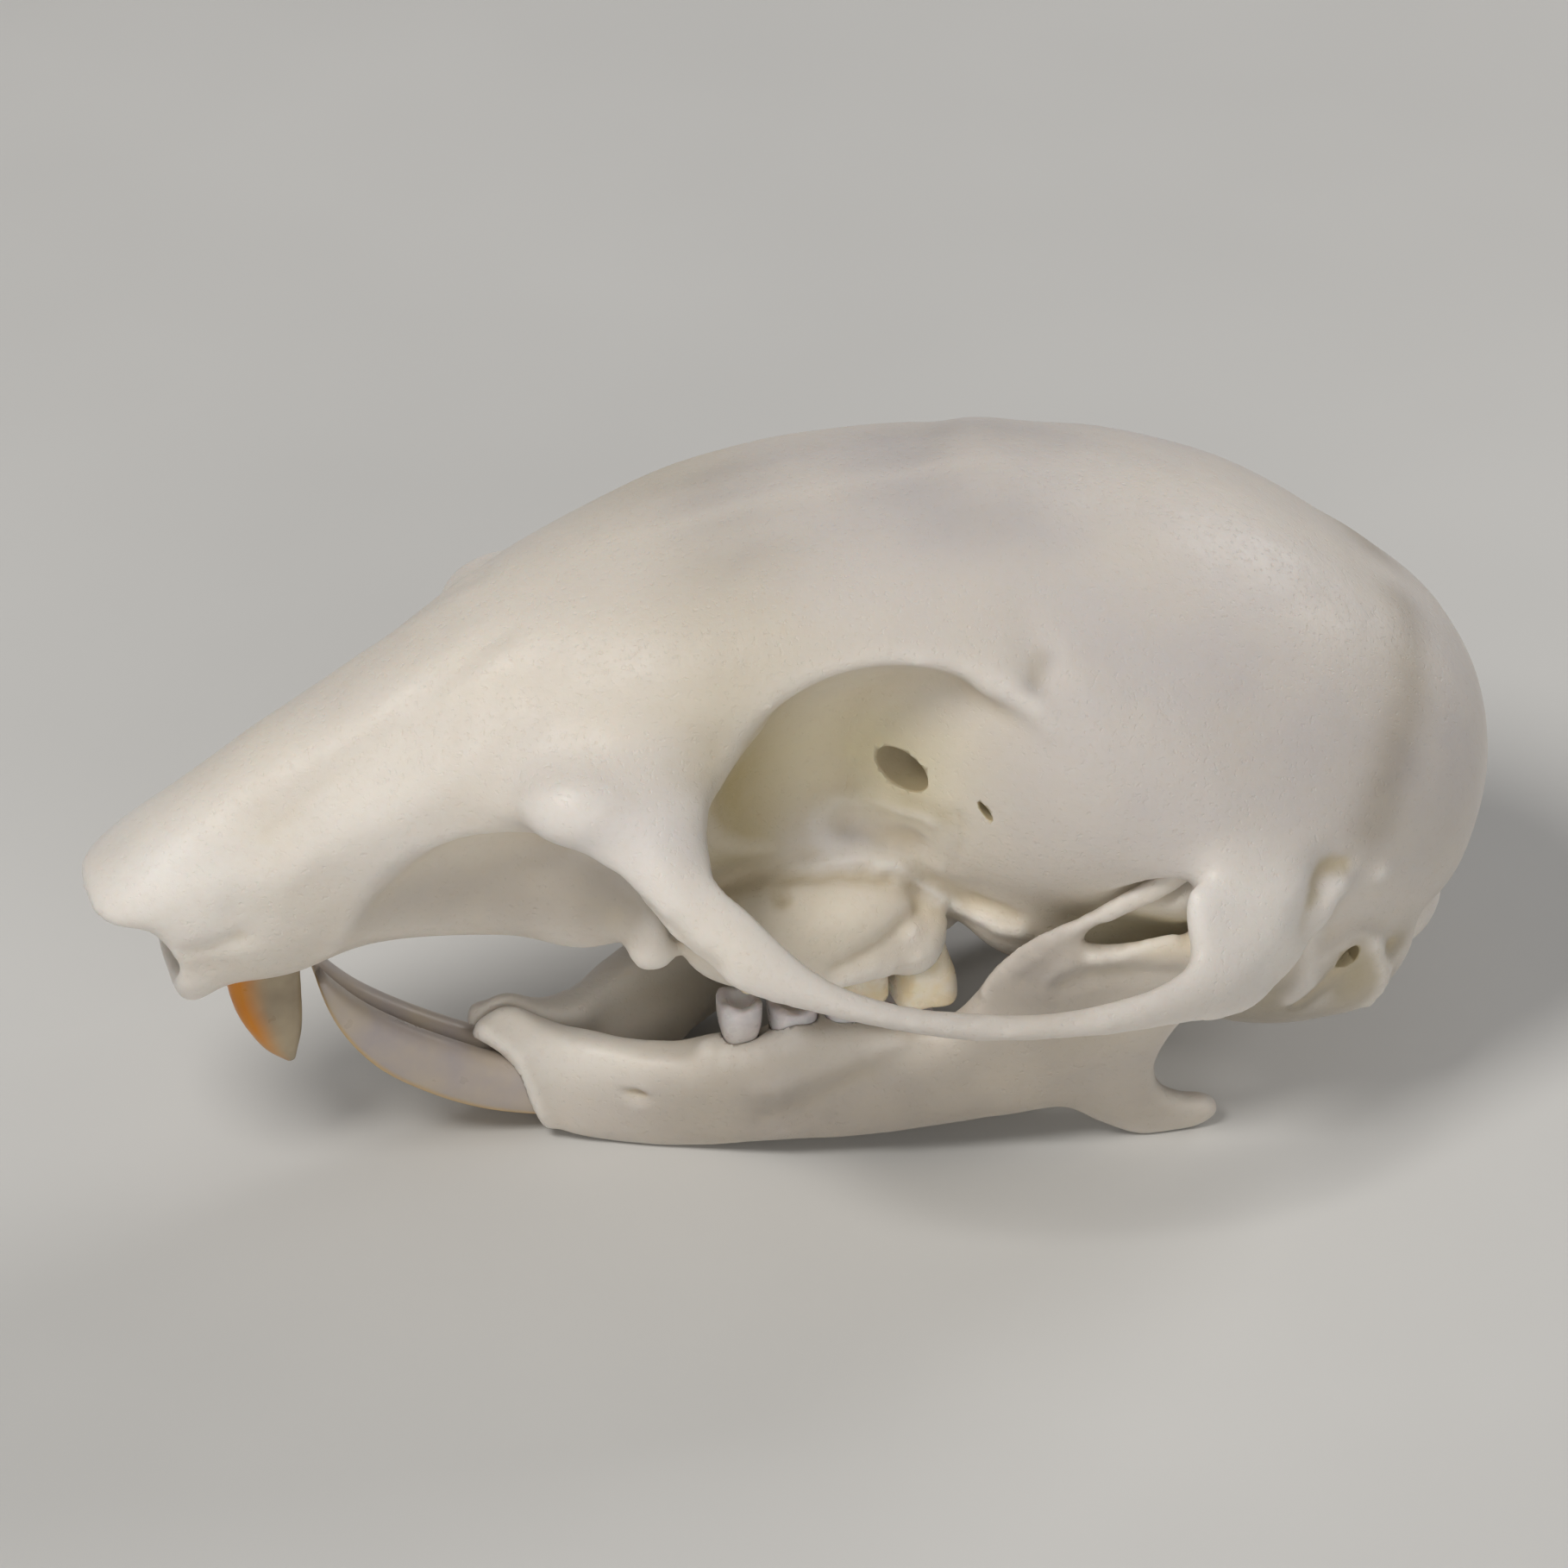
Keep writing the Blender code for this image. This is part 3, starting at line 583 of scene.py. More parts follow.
def cheek_tooth_socket(place, side, up):
    """Cutter for the socket of a cheek tooth, from the rim of its crown to a little past its root."""
    _, x, y, long, wide, bite = place
    rings = []
    for height, share in TOOTH_PROFILE[2:]:
        ring = []
        for angle in turns(SOCKET_SIDES):
            along = cornered(math.cos(angle), CHEEK_TOOTH_CORNERS) * (long * share + SOCKET_GAP)
            across = cornered(math.sin(angle), CHEEK_TOOTH_CORNERS) * (wide * share + SOCKET_GAP)
            ring.append((x + along, side * y + across, bite + up * height))
        rings.append(ring)
    rings[-1] = [(px, py, pz + up * SOCKET_GAP) for px, py, pz in rings[-1]]
    return loft(rings)


class Clay:
    """A mesh whose points, in millimetres, are pushed about like clay. Left and right are shaped alike."""

    def __init__(self, mesh):
        self.mesh = mesh
        self.points = values_of(mesh.vertices, "co") / MM
        self.edges = values_of(mesh.edges, "vertices", 2, int)
        self.links = np.maximum(np.bincount(self.edges.ravel(), minlength=len(self.points)), 1)
        self.read_normals()

    def read_normals(self):
        """Writes the points to the mesh and reads the direction of the surface at each of them."""
        self.mesh.vertices.foreach_set("co", (self.points * MM).ravel())
        self.mesh.update()
        self.normals = values_of(self.mesh.vertices, "normal")

    def average(self, values):
        """Each point's value, taken from its neighbours."""
        first, second = self.edges.T
        total = np.empty_like(values)
        for column in range(values.shape[1]):
            weights = values[:, column]
            total[:, column] = np.bincount(first, weights[second], len(weights))
            total[:, column] += np.bincount(second, weights[first], len(weights))
        return total / self.links[:, None]

    def relax(self, rounds, weight=1.0):
        """Smooths the surface, as strongly as the weight says at each point."""
        strength = np.broadcast_to(np.asarray(weight, float), len(self.points))[:, None] * 0.5
        for _ in range(rounds):
            self.points += (self.average(self.points) - self.points) * strength
        self.read_normals()

    def fill(self, rounds, weight):
        """Fills hollows: points move towards their neighbours, but only outwards."""
        for _ in range(rounds):
            pull = self.average(self.points) - self.points
            outwards = np.maximum((pull * self.normals).sum(axis=1), 0)
            self.points += self.normals * (outwards * weight)[:, None]
        self.read_normals()

    def hollowness(self, rounds):
        """How far each point lies below the surface round it, in millimetres; less than 0 on a ridge."""
        soft = self.points.copy()
        for _ in range(rounds):
            soft += (self.average(soft) - soft) * 0.5
        return ((soft - self.points) * self.normals).sum(axis=1)


def mirrored(points):
    """The points with their distance from the midline in place of y."""
    return np.column_stack([points[:, 0], np.abs(points[:, 1]), points[:, 2]])


def path_distance(points, rows):
    """Distance of each point to the nearest place on a path."""
    best = np.full(len(points), 1e9)
    for start, end in zip(rows, rows[1:]):
        run = end - start
        share = np.clip(((points - start) @ run) / max(run @ run, 1e-9), 0, 1)
        best = np.minimum(best, np.linalg.norm(points - start - share[:, None] * run, axis=1))
    return best


def snapped(places, surface):
    """Each place moved to the nearest point of the surface."""
    return np.array([surface[np.argmin(((surface - place) ** 2).sum(axis=1))] for place in places])


def path_share(clay, path, width):
    """Which points lie near a path drawn on the surface, and 1 on it falling to 0 beside it."""
    points = mirrored(clay.points)
    corners = np.array(path, float)
    reach = 3 * width + 0.5
    near = np.all((points > corners.min(axis=0) - reach) & (points < corners.max(axis=0) + reach), axis=1)
    rows = through(path, 6 * len(path)) if len(path) > 2 else corners
    rows = snapped(rows, points[near])
    return near, np.exp(-((path_distance(points[near], rows) / width) ** 2))


def stroke(clay, path, width, height):
    """Raises a ridge along a path, or sinks a groove where the height is below 0."""
    near, share = path_share(clay, path, width)
    clay.points[near] += clay.normals[near] * (height * share)[:, None]


def dab(clay, centre, radii, height):
    """Raises or sinks a round patch."""
    points = mirrored(clay.points)
    gap = (points - snapped([centre], points)) / radii
    amount = height * np.exp(-(gap**2).sum(axis=1))
    clay.points += clay.normals * amount[:, None]


def undulate(clay, size, height):
    """Gives the whole surface the slight unevenness of grown bone."""
    random = np.random.default_rng(7)
    directions = random.normal(size=(14, 3))
    directions /= np.linalg.norm(directions, axis=1)[:, None]
    lengths = size * random.uniform(0.7, 1.6, 14)
    phases = random.uniform(0, 2 * np.pi, 14)
    waves = np.sin(clay.points @ (directions / lengths[:, None]).T * 2 * np.pi + phases)
    clay.points += clay.normals * (waves.mean(axis=1) * height)[:, None]


def region(clay, centre, radii):
    """1 at the centre of a patch, falling to 0 round it."""
    gap = (mirrored(clay.points) - centre) / radii
    return np.exp(-(gap**2).sum(axis=1))


def within_box(clay):
    """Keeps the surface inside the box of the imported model."""
    low, high = (np.array(corner) / MM for corner in cad_box)
    clay.points = np.clip(clay.points, low + BOX_MARGIN, high - BOX_MARGIN)
    clay.read_normals()


def linear(red, green, blue):
    """A colour as light, from the 0 to 255 numbers of a screen colour."""
    return np.array([((value / 255 + 0.055) / 1.055) ** 2.4 for value in (red, green, blue)])


# Screen colours of the bone's stains and of the painted light and shade on it
IVORY = linear(228, 220, 209)
CREAM = linear(232, 220, 196)
LAVENDER = linear(200, 194, 193)
GREY = linear(172, 167, 166)
# Olive colours of painted shade in the orbit, the hollows, the opened holes and behind the jaw's notch
SHADE_OLIVE = linear(178, 164, 128)
DARK_SHADE_OLIVE = linear(138, 126, 96)
PALE_SHADE_OLIVE = linear(232, 222, 184)
# Colours of painted highlights and painted light on lit bone
HIGHLIGHT_WHITE = linear(243, 239, 234)
HIGHLIGHT_BLUISH = linear(224, 222, 228)
TAN = linear(206, 190, 160)
# Colours of painted shade
SHADE = linear(166, 157, 147)
DEEP_SHADE = linear(116, 108, 96)
# Screen colours of the teeth and of the studio
ENAMEL_ORANGE = linear(206, 128, 22)
ENAMEL_AMBER = linear(204, 142, 52)
ENAMEL_YELLOW = linear(206, 172, 112)
DENTINE = linear(148, 134, 112)
DENTINE_GREY = linear(174, 165, 164)
TOOTH_CREAM = linear(226, 208, 170)
TOOTH_WHITE = linear(232, 224, 208)
TOOTH_LAVENDER = linear(204, 198, 199)
TOOTH_PEARL = linear(228, 223, 223)
FLOOR_DIM = linear(206, 205, 202)
FLOOR_PALE = linear(213, 212, 209)
# Stains, painted shade and painted highlights of the cranium: colour, centre, radii, strength
CRANIUM_TINTS = (
    (LAVENDER, (11.0, 6.0, 14.0), (8.0, 6.0, 7.0), 0.9),
    # painted shade on the back of the braincase
    (GREY, (18.5, 5.0, 12.0), (3.2, 7.0, 6.0), 0.6),
    (LAVENDER, (3.0, 2.0, 20.0), (8.0, 4.0, 2.5), 0.6),
    # painted highlight on the tip of the nose
    (HIGHLIGHT_WHITE, (-18.0, 2.0, 10.8), (2.6, 3.0, 2.2), 0.9),
    # painted highlight on the cheek below the orbit's rim
    (HIGHLIGHT_BLUISH, (-5.5, 6.5, 14.0), (3.0, 3.0, 2.5), 0.5),
    # painted light on the side of the rostrum
    (HIGHLIGHT_WHITE, (-12.5, 3.2, 13.2), (2.6, 1.6, 2.2), 0.4),
    (GREY, (-1.5, 2.1, 19.5), (1.9, 0.9, 3.0), 0.40),
    (GREY, (-1.8, 0.6, 19.8), (1.8, 0.7, 3.0), 0.35),
    (GREY, (5.4, 2.3, 20.0), (3.2, 1.3, 3.0), 0.45),
    (GREY, (3.6, 0.7, 20.2), (2.6, 0.8, 3.0), 0.35),
    # painted shade in the orbit: its front wall, its lower front corner and its inner wall
    (SHADE_OLIVE, (-2.4, 3.6, 13.2), (2.4, 3.4, 5.0), 1.2),
    (SHADE_OLIVE, (-2.0, 3.6, 10.0), (1.8, 1.6, 2.0), 0.6),
    (PALE_SHADE_OLIVE, (1.6, 3.6, 13.0), (2.6, 2.6, 2.6), 0.9),
    # painted light on the orbit's floor over the tooth roots
    (CREAM, (0.8, 4.6, 8.6), (2.6, 1.6, 1.4), 0.7),
    # painted light on the palatine's wall
    (HIGHLIGHT_BLUISH, (0.6, 3.2, 10.3), (1.5, 1.2, 1.0), 0.6),
    # painted light on the bone round the third molar
    (CREAM, (4.0, 3.3, 7.7), (1.8, 1.2, 0.9), 0.8),
    # painted shade at the base of the braincase and behind the jaw's notch
    (TAN, (8.4, 5.2, 7.4), (3.2, 2.2, 2.0), 0.6),
    (PALE_SHADE_OLIVE, (9.4, 5.4, 7.6), (2.2, 3.0, 1.9), 1.0),
    # painted light on the arch's hind root
    (HIGHLIGHT_WHITE, (11.2, 9.4, 9.4), (2.6, 1.6, 2.8), 0.8),
    # painted shade along the middle of the arch
    (SHADE, (2.0, 11.0, 8.9), (7.0, 1.6, 2.0), 1.0),
    # painted shade in the masseter's field
    (SHADE, (-9.0, 3.4, 9.7), (4.4, 2.0, 1.4), 0.9),
    (SHADE, (-6.6, 3.8, 9.9), (2.0, 2.0, 1.4), 0.7),
    # painted shade on the ear capsule, in the ear opening and in the hollow above the condyle
    (DEEP_SHADE, (12.0, 7.2, 4.4), (4.0, 3.0, 2.2), 1.0),
    (DARK_SHADE_OLIVE, (11.4, 7.6, 5.2), (1.6, 2.4, 1.3), 0.6),
    (SHADE_OLIVE, (15.0, 7.2, 5.9), (0.9, 1.0, 1.3), 0.8),
    (DARK_SHADE_OLIVE, (16.3, 6.8, 6.5), (0.6, 0.8, 0.5), 0.7),
)
# Painted shade and painted highlights of the mandible, in the same columns
MANDIBLE_LIGHT_AND_SHADE = (
    # painted shade on the jaw's outer side and on the coronoid process
    (SHADE, (1.0, 4.5, 1.6), (15.0, 4.5, 3.0), 1.0),
    (SHADE, (6.0, 6.0, 6.5), (4.0, 3.0, 4.6), 1.0),
    # painted light on the inner side of the jaw's front
    (HIGHLIGHT_WHITE, (-6.4, 1.6, 3.0), (2.4, 2.0, 1.0), 0.7),
    # painted shade on the inner side of the jaw
    (PALE_SHADE_OLIVE, (2.0, 1.0, 4.8), (5.5, 1.5, 3.2), 0.9),
    # painted highlight on the hinge's bar
    (CREAM, (9.3, 7.2, 8.1), (1.4, 1.0, 0.35), 1.0),
)
# Painted shade and painted highlights that follow a line: colour, path, width, strength
CRANIUM_SHADE_AND_HIGHLIGHT_LINES = (
    # painted shade along the lambdoid crest
    (SHADE, ((17.7, 1.48, 14.46), (17.2, 3.56, 14.1), (16.7, 5.16, 13.5), (16.0, 6.39, 12.7),
     (15.4, 7.16, 11.8), (15.1, 7.46, 11.2)), 0.9, 0.9),
    # painted shade in the sinus of the temporal line
    (GREY, ((6.04, 5.78, 17.39), (5.64, 6.12, 16.87)), 0.30, 0.7),
    # painted shade in the shallow of the palatine's wall
    (GREY, ((1.0, 3.25, 10.65), (1.5, 3.35, 10.6), (2.16, 3.5, 10.4), (2.84, 3.8, 10.3)), 0.34, 0.7),
    # painted highlight along the crest of the pterygoid wing
    (HIGHLIGHT_WHITE, ((3.1, 3.3, 8.5), (3.77, 3.17, 7.8), (4.41, 3.19, 7.34), (4.87, 3.82, 7.34)), 0.30, 0.8),
    # painted shade in the orbit beside the sphenoidal fissure
    (SHADE_OLIVE, ((2.7, 3.9, 11.9), (3.4, 4.7, 11.6)), 0.45, 0.5),
    # painted shade in the groove behind the arch's root
    (SHADE_OLIVE, ((14.28, 7.88, 10.36), (13.65, 8.2, 10.5), (13.3, 8.4, 10.2), (13.17, 8.5, 9.62)), 0.22, 0.7),
)


def paint(clay, base, tints, shade_and_highlight_lines):
    """Stores the bone's colour with its stains and its painted light and shade, and how hollow the surface
    is, at each point of the mesh.
    """
    tone = np.tile(base, (len(clay.points), 1))
    for colour, centre, radii, strength in tints:
        share = (region(clay, centre, radii) * strength)[:, None]
        tone += (colour - tone) * share
    for colour, path, width, strength in shade_and_highlight_lines:
        near, share = path_share(clay, path, width)
        tone[near] += (colour - tone[near]) * (share * strength)[:, None]
    stain_and_light = clay.mesh.attributes.new("tone", "FLOAT_COLOR", "POINT")
    stain_and_light.data.foreach_set("color", np.column_stack([tone, np.ones(len(tone))]).ravel())
    hollow = clay.mesh.attributes.new("hollow", "FLOAT", "POINT")
    hollow.data.foreach_set("value", np.clip(clay.hollowness(24) / HOLLOW_DEPTH, -1, 1))


def shade_cuts(mesh, clay, colour):
    """Paints shade on the surface that a cut has opened."""
    tree = KDTree(len(clay.points))
    for index, point in enumerate(clay.points):
        tree.insert(point, index)
    tree.balance()
    fresh = [v.index for v in mesh.vertices if tree.find(v.co / MM)[2] > 0.001]
    tones, depths = mesh.attributes["tone"].data, mesh.attributes["hollow"].data
    for index in fresh:
        tones[index].color = (*colour, 1.0)
        depths[index].value = 0.0
    return mesh


class Nodes:
    """Short words for building one material's node tree."""

    def __init__(self, name):
        self.material = bpy.data.materials.new(name)
        self.material.use_nodes = True
        self.tree = self.material.node_tree
        self.shader = self.tree.nodes["Principled BSDF"]
        self.place = self.add("ShaderNodeTexCoord").outputs["Object"]

    def add(self, kind, **settings):
        """A new node with these properties."""
        node = self.tree.nodes.new(kind)
        for key, value in settings.items():
            setattr(node, key, value)
        return node

    def plug(self, socket, source):
        """Sets one input from a number, a colour or another node's output."""
        if isinstance(source, bpy.types.NodeSocket):
            self.tree.links.new(source, socket)
        else:
            socket.default_value = source

    def feed(self, node, **sources):
        """Sets inputs of a node by their names."""
        for key, source in sources.items():
            self.plug(node.inputs[key.replace("_", " ")], source)

    def attribute(self, name, output="Fac"):
        """What the mesh stores under this name."""
        return self.add("ShaderNodeAttribute", attribute_name=name).outputs[output]

    def noise(self, size, detail=4.0, roughness=0.55, stretch=(1, 1, 1)):
        """Cloudy noise whose lumps are about this many millimetres across."""
        scaled = self.add("ShaderNodeMapping")
        self.feed(scaled, Vector=self.place, Scale=[part / (size * MM) for part in stretch])
        node = self.add("ShaderNodeTexNoise")
        self.feed(node, Vector=scaled.outputs["Vector"], Scale=1.0, Detail=detail, Roughness=roughness)
        return node.outputs["Fac"]

    def ramp(self, source, low, high, start=0.0, end=1.0):
        """Turns values between low and high to values between start and end."""
        node = self.add("ShaderNodeMapRange", clamp=True)
        self.feed(node, Value=source, From_Min=low, From_Max=high, To_Min=start, To_Max=end)
        return node.outputs["Result"]

    def blend(self, share, first, second):
        """Two colours mixed by a share."""
        node = self.add("ShaderNodeMix", data_type="RGBA")
        self.plug(node.inputs[0], share)
        for socket, source in ((node.inputs[6], first), (node.inputs[7], second)):
            self.plug(socket, source if isinstance(source, bpy.types.NodeSocket) else (*source, 1.0))
        return node.outputs[2]

    def math(self, operation, first, second):
        """One sum on two numbers or outputs."""
        node = self.add("ShaderNodeMath", operation=operation)
        self.plug(node.inputs[0], first)
        self.plug(node.inputs[1], second)
        return node.outputs[0]

    def bump(self, layers):
        """Relief from heights in millimetres, given with their noise."""
        total = None
        for source, height in layers:
            part = self.math("MULTIPLY", source, height)
            total = part if total is None else self.math("ADD", total, part)
        node = self.add("ShaderNodeBump")
        self.feed(node, Height=total, Strength=1.0, Distance=MM)
        self.feed(self.shader, Normal=node.outputs["Normal"])

    def finish(self, colour, gloss, glow, depth):
        """Colour, roughness, and the share and the depth in millimetres of the light that sinks in."""
        self.feed(self.shader, Base_Color=colour, Roughness=gloss)
        self.feed(self.shader, Subsurface_Weight=glow, Subsurface_Scale=depth * MM)


def bone_material(name):
    """Dry cleaned bone: stained tone with painted light and shade, painted shade in the hollows, painted
    highlights on the ridges, faint pores, grain and a satin gloss.
    """
    made = Nodes(name)
    tone = made.attribute("tone", "Color")
    hollow = made.attribute("hollow")
    cloud = made.ramp(made.noise(4.5, 3.0), 0.35, 0.65)
    streak = made.ramp(made.noise(1.6, 4.0, 0.6, (0.35, 1, 1)), 0.35, 0.7)
    grain = made.noise(0.30, 5.0, 0.65)
    pores = made.ramp(made.noise(0.16, 2.0), 0.58, 0.72)
    colour = made.blend(made.ramp(cloud, 0, 1, 0.0, 0.22), tone, CREAM)
    colour = made.blend(made.ramp(streak, 0, 1, 0.0, 0.16), colour, LAVENDER)
    # painted shade in the hollows and painted highlights on the ridges
    colour = made.blend(made.ramp(hollow, 0.1, 1.0, 0.0, 0.65), colour, TAN)
    colour = made.blend(made.ramp(hollow, -0.15, -1.0, 0.0, 0.45), colour, HIGHLIGHT_WHITE)
    colour = made.blend(made.ramp(grain, 0.45, 0.75, 0.0, 0.10), colour, TAN)
    made.finish(colour, made.ramp(made.noise(0.9, 4.0), 0.3, 0.7, 0.38, 0.56), 0.25, 0.5)
    made.feed(made.shader, Specular_IOR_Level=0.42, Subsurface_Radius=(1.0, 0.62, 0.42))
    made.bump([(made.noise(0.9, 4.0), 0.030), (grain, 0.012), (pores, -0.010)])
    return made.material


def incisor_material(name, side, enamel, pale, strip, fade):
    """Dentine with a strip of enamel along the front that is softly edged and pales towards the tip."""
    made = Nodes(name)
    front = made.attribute("front")
    along = made.attribute("along")
    wobble = made.math("MULTIPLY", made.math("SUBTRACT", made.noise(1.2, 2.0), 0.5), 0.10)
    edge = made.ramp(made.math("ADD", front, wobble), *strip)
    edge = made.math("MULTIPLY", edge, made.ramp(along, *fade))
    dull = made.blend(made.ramp(made.noise(1.5, 3.0), 0.3, 0.7, 0.0, 0.5), side, TAN)
    shade = made.blend(made.ramp(made.noise(1.2, 2.0), 0.3, 0.7, 0.0, 0.5), enamel, pale)
    colour = made.blend(edge, dull, shade)
    made.finish(colour, made.ramp(made.noise(0.8, 3.0), 0.3, 0.7, 0.26, 0.40), 0.2, 0.3)
    made.feed(made.shader, Subsurface_Radius=(1.0, 0.7, 0.5))
    made.bump([(made.noise(0.5, 2.0, 0.5, (1.0, 0.3, 0.3)), 0.004)])
    return made.material


def cheek_tooth_material(name, enamel, cusp):
    """Enamel, paler on the cusps and yellower near the root."""
    made = Nodes(name)
    along = made.attribute("along")
    shade = made.blend(made.ramp(made.noise(0.8, 3.0), 0.35, 0.65), enamel, cusp)
    shade = made.blend(made.ramp(along, 0.4, 0.9, 0.0, 0.45), shade, TAN)
    made.finish(shade, made.ramp(made.noise(0.5, 3.0), 0.3, 0.7, 0.22, 0.36), 0.2, 0.3)
    made.bump([(made.noise(0.4, 2.0), 0.005)])
    return made.material


def shown(name, mesh, material):
    """The finished piece with its material: it takes the place of its solid."""
    mesh.name = name
    mesh.materials.clear()
    mesh.materials.append(material)
    mesh.shade_smooth()
    piece = object_of(f"{name}_surface", mesh)
    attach(piece, "root")
    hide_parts(name)
    return piece


def aimed(obj, place, direction):
    """Puts a lamp or a camera at a place and turns it to look in a direction."""
    obj.location = place
    obj.rotation_mode = "QUATERNION"
    obj.rotation_quaternion = direction.to_track_quat("-Z", "Y")


def lights():
    """Soft lamps: a key high above the nose, a fill beside the camera and a rim behind the braincase."""
    lamps = (
        ("key", (-0.19, -0.11, 0.33), 0.14, 0.80, (1.0, 0.975, 0.94)),
        ("fill", (-0.03, -0.33, 0.12), 0.26, 0.29, (1.0, 0.98, 0.95)),
        ("rim", (0.26, 0.14, 0.16), 0.16, 0.36, (1.0, 0.98, 0.97)),
    )
    for name, place, size, watts, colour in lamps:
        lamp = bpy.data.lights.new(name, "AREA")
        lamp.shape = "DISK"
        lamp.size = size
        lamp.energy = watts
        lamp.color = colour
        aimed(object_of(name, lamp), place, Vector((0, 0, 0.01)) - Vector(place))


def studio():
    """A pale floor, an even grey sky and the soft lamps."""
    world = bpy.data.worlds.new("studio")
    world.use_nodes = True
    sky = world.node_tree.nodes["Background"]
    sky.inputs["Color"].default_value = SKY_COLOUR
    sky.inputs["Strength"].default_value = SKY_STRENGTH
    bpy.context.scene.world = world
    bm = bmesh.new()
    bmesh.ops.create_grid(bm, x_segments=1, y_segments=1, size=1.5)
    mesh = meshed(bm, "floor")
    floor = object_of("floor", mesh)
    floor.location.z = -FLOOR_DROP * MM
    paper = Nodes("floor_paper")
    pale = paper.blend(paper.ramp(paper.noise(30.0, 3.0), 0.3, 0.7), FLOOR_DIM, FLOOR_PALE)
    paper.feed(paper.shader, Base_Color=pale, Roughness=0.85)
    mesh.materials.append(paper.material)
    lights()


# The camera: degrees round the skull and above it, distance, and what one pixel of a 1818 pixel frame covers
VIEW_AZIMUTH = -14.0
VIEW_ELEVATION = 35.0
VIEW_DISTANCE = 300.0
VIEW_CENTRE = (0.0, 0.0, 10.2)
FRAME_PIXELS = 1818
PIXEL = 0.0245
SENSOR = 36.0


def camera():
    """The photograph's view of the skull."""
    turn, rise = math.radians(VIEW_AZIMUTH), math.radians(VIEW_ELEVATION)
    back = Vector((math.sin(turn) * math.cos(rise), -math.cos(turn) * math.cos(rise), math.sin(rise)))
    eye = object_of("camera", bpy.data.cameras.new("camera"))
    eye.data.sensor_width = SENSOR
    eye.data.lens = SENSOR * VIEW_DISTANCE / (FRAME_PIXELS * PIXEL)
    eye.data.clip_start = 0.01
    aimed(eye, (Vector(VIEW_CENTRE) + back * VIEW_DISTANCE) * MM, -back)
    bpy.context.scene.camera = eye


def tooth_attributes(mesh, rings, sides, front):
    """Stores how far along the tooth each point lies and how squarely it faces front."""
    along = np.repeat(np.linspace(0, 1, rings), sides)
    mesh.attributes.new("along", "FLOAT", "POINT").data.foreach_set("value", along)
    mesh.attributes.new("front", "FLOAT", "POINT").data.foreach_set("value", np.tile(front, rings))


def fine_incisor(path, side, front_sign, rings=72, sides=48):
    """An incisor with a strip of enamel in front that stands a little proud."""
    angles = turns(sides, 0.5)
    front = np.clip(np.sin(angles) * front_sign, 0, 1)
    proud = np.where(front > ENAMEL_FACING, ENAMEL_HEIGHT, 0.0)
    mesh = bent_rod(path, side, rings, angles, INCISOR_CORNERS, 0.0, proud)
    tooth_attributes(mesh, rings, sides, front)
    return mesh


def fine_cheek_tooth(place, side, up, sides=40):
    """A cheek tooth with rounded cusps round a basin."""
    _, x, y, long, wide, bite = place
    profile = [(0.40, 0.02), (0.36, 0.30), *TOOTH_PROFILE]
    levels = through([(height, share, 0) for height, share in profile], 26)
    rings = []
    for height, share, _ in levels:
        ring = []
        for angle in turns(sides):
            cusp = CUSP_HEIGHT * (1 - abs(math.sin(2 * angle)))
            cusp *= math.exp(-(((share - CUSP_SHARE) / CUSP_SPREAD) ** 2)) if height < CUSP_REACH else 0.0
            along = cornered(math.cos(angle), CHEEK_TOOTH_CORNERS) * long * share
            across = cornered(math.sin(angle), CHEEK_TOOTH_CORNERS) * wide * share
            ring.append((x + along, side * y + side * across, bite + up * (height + cusp)))
        rings.append(ring)
    mesh = loft(rings)
    tooth_attributes(mesh, len(levels), sides, np.zeros(sides))
    return mesh


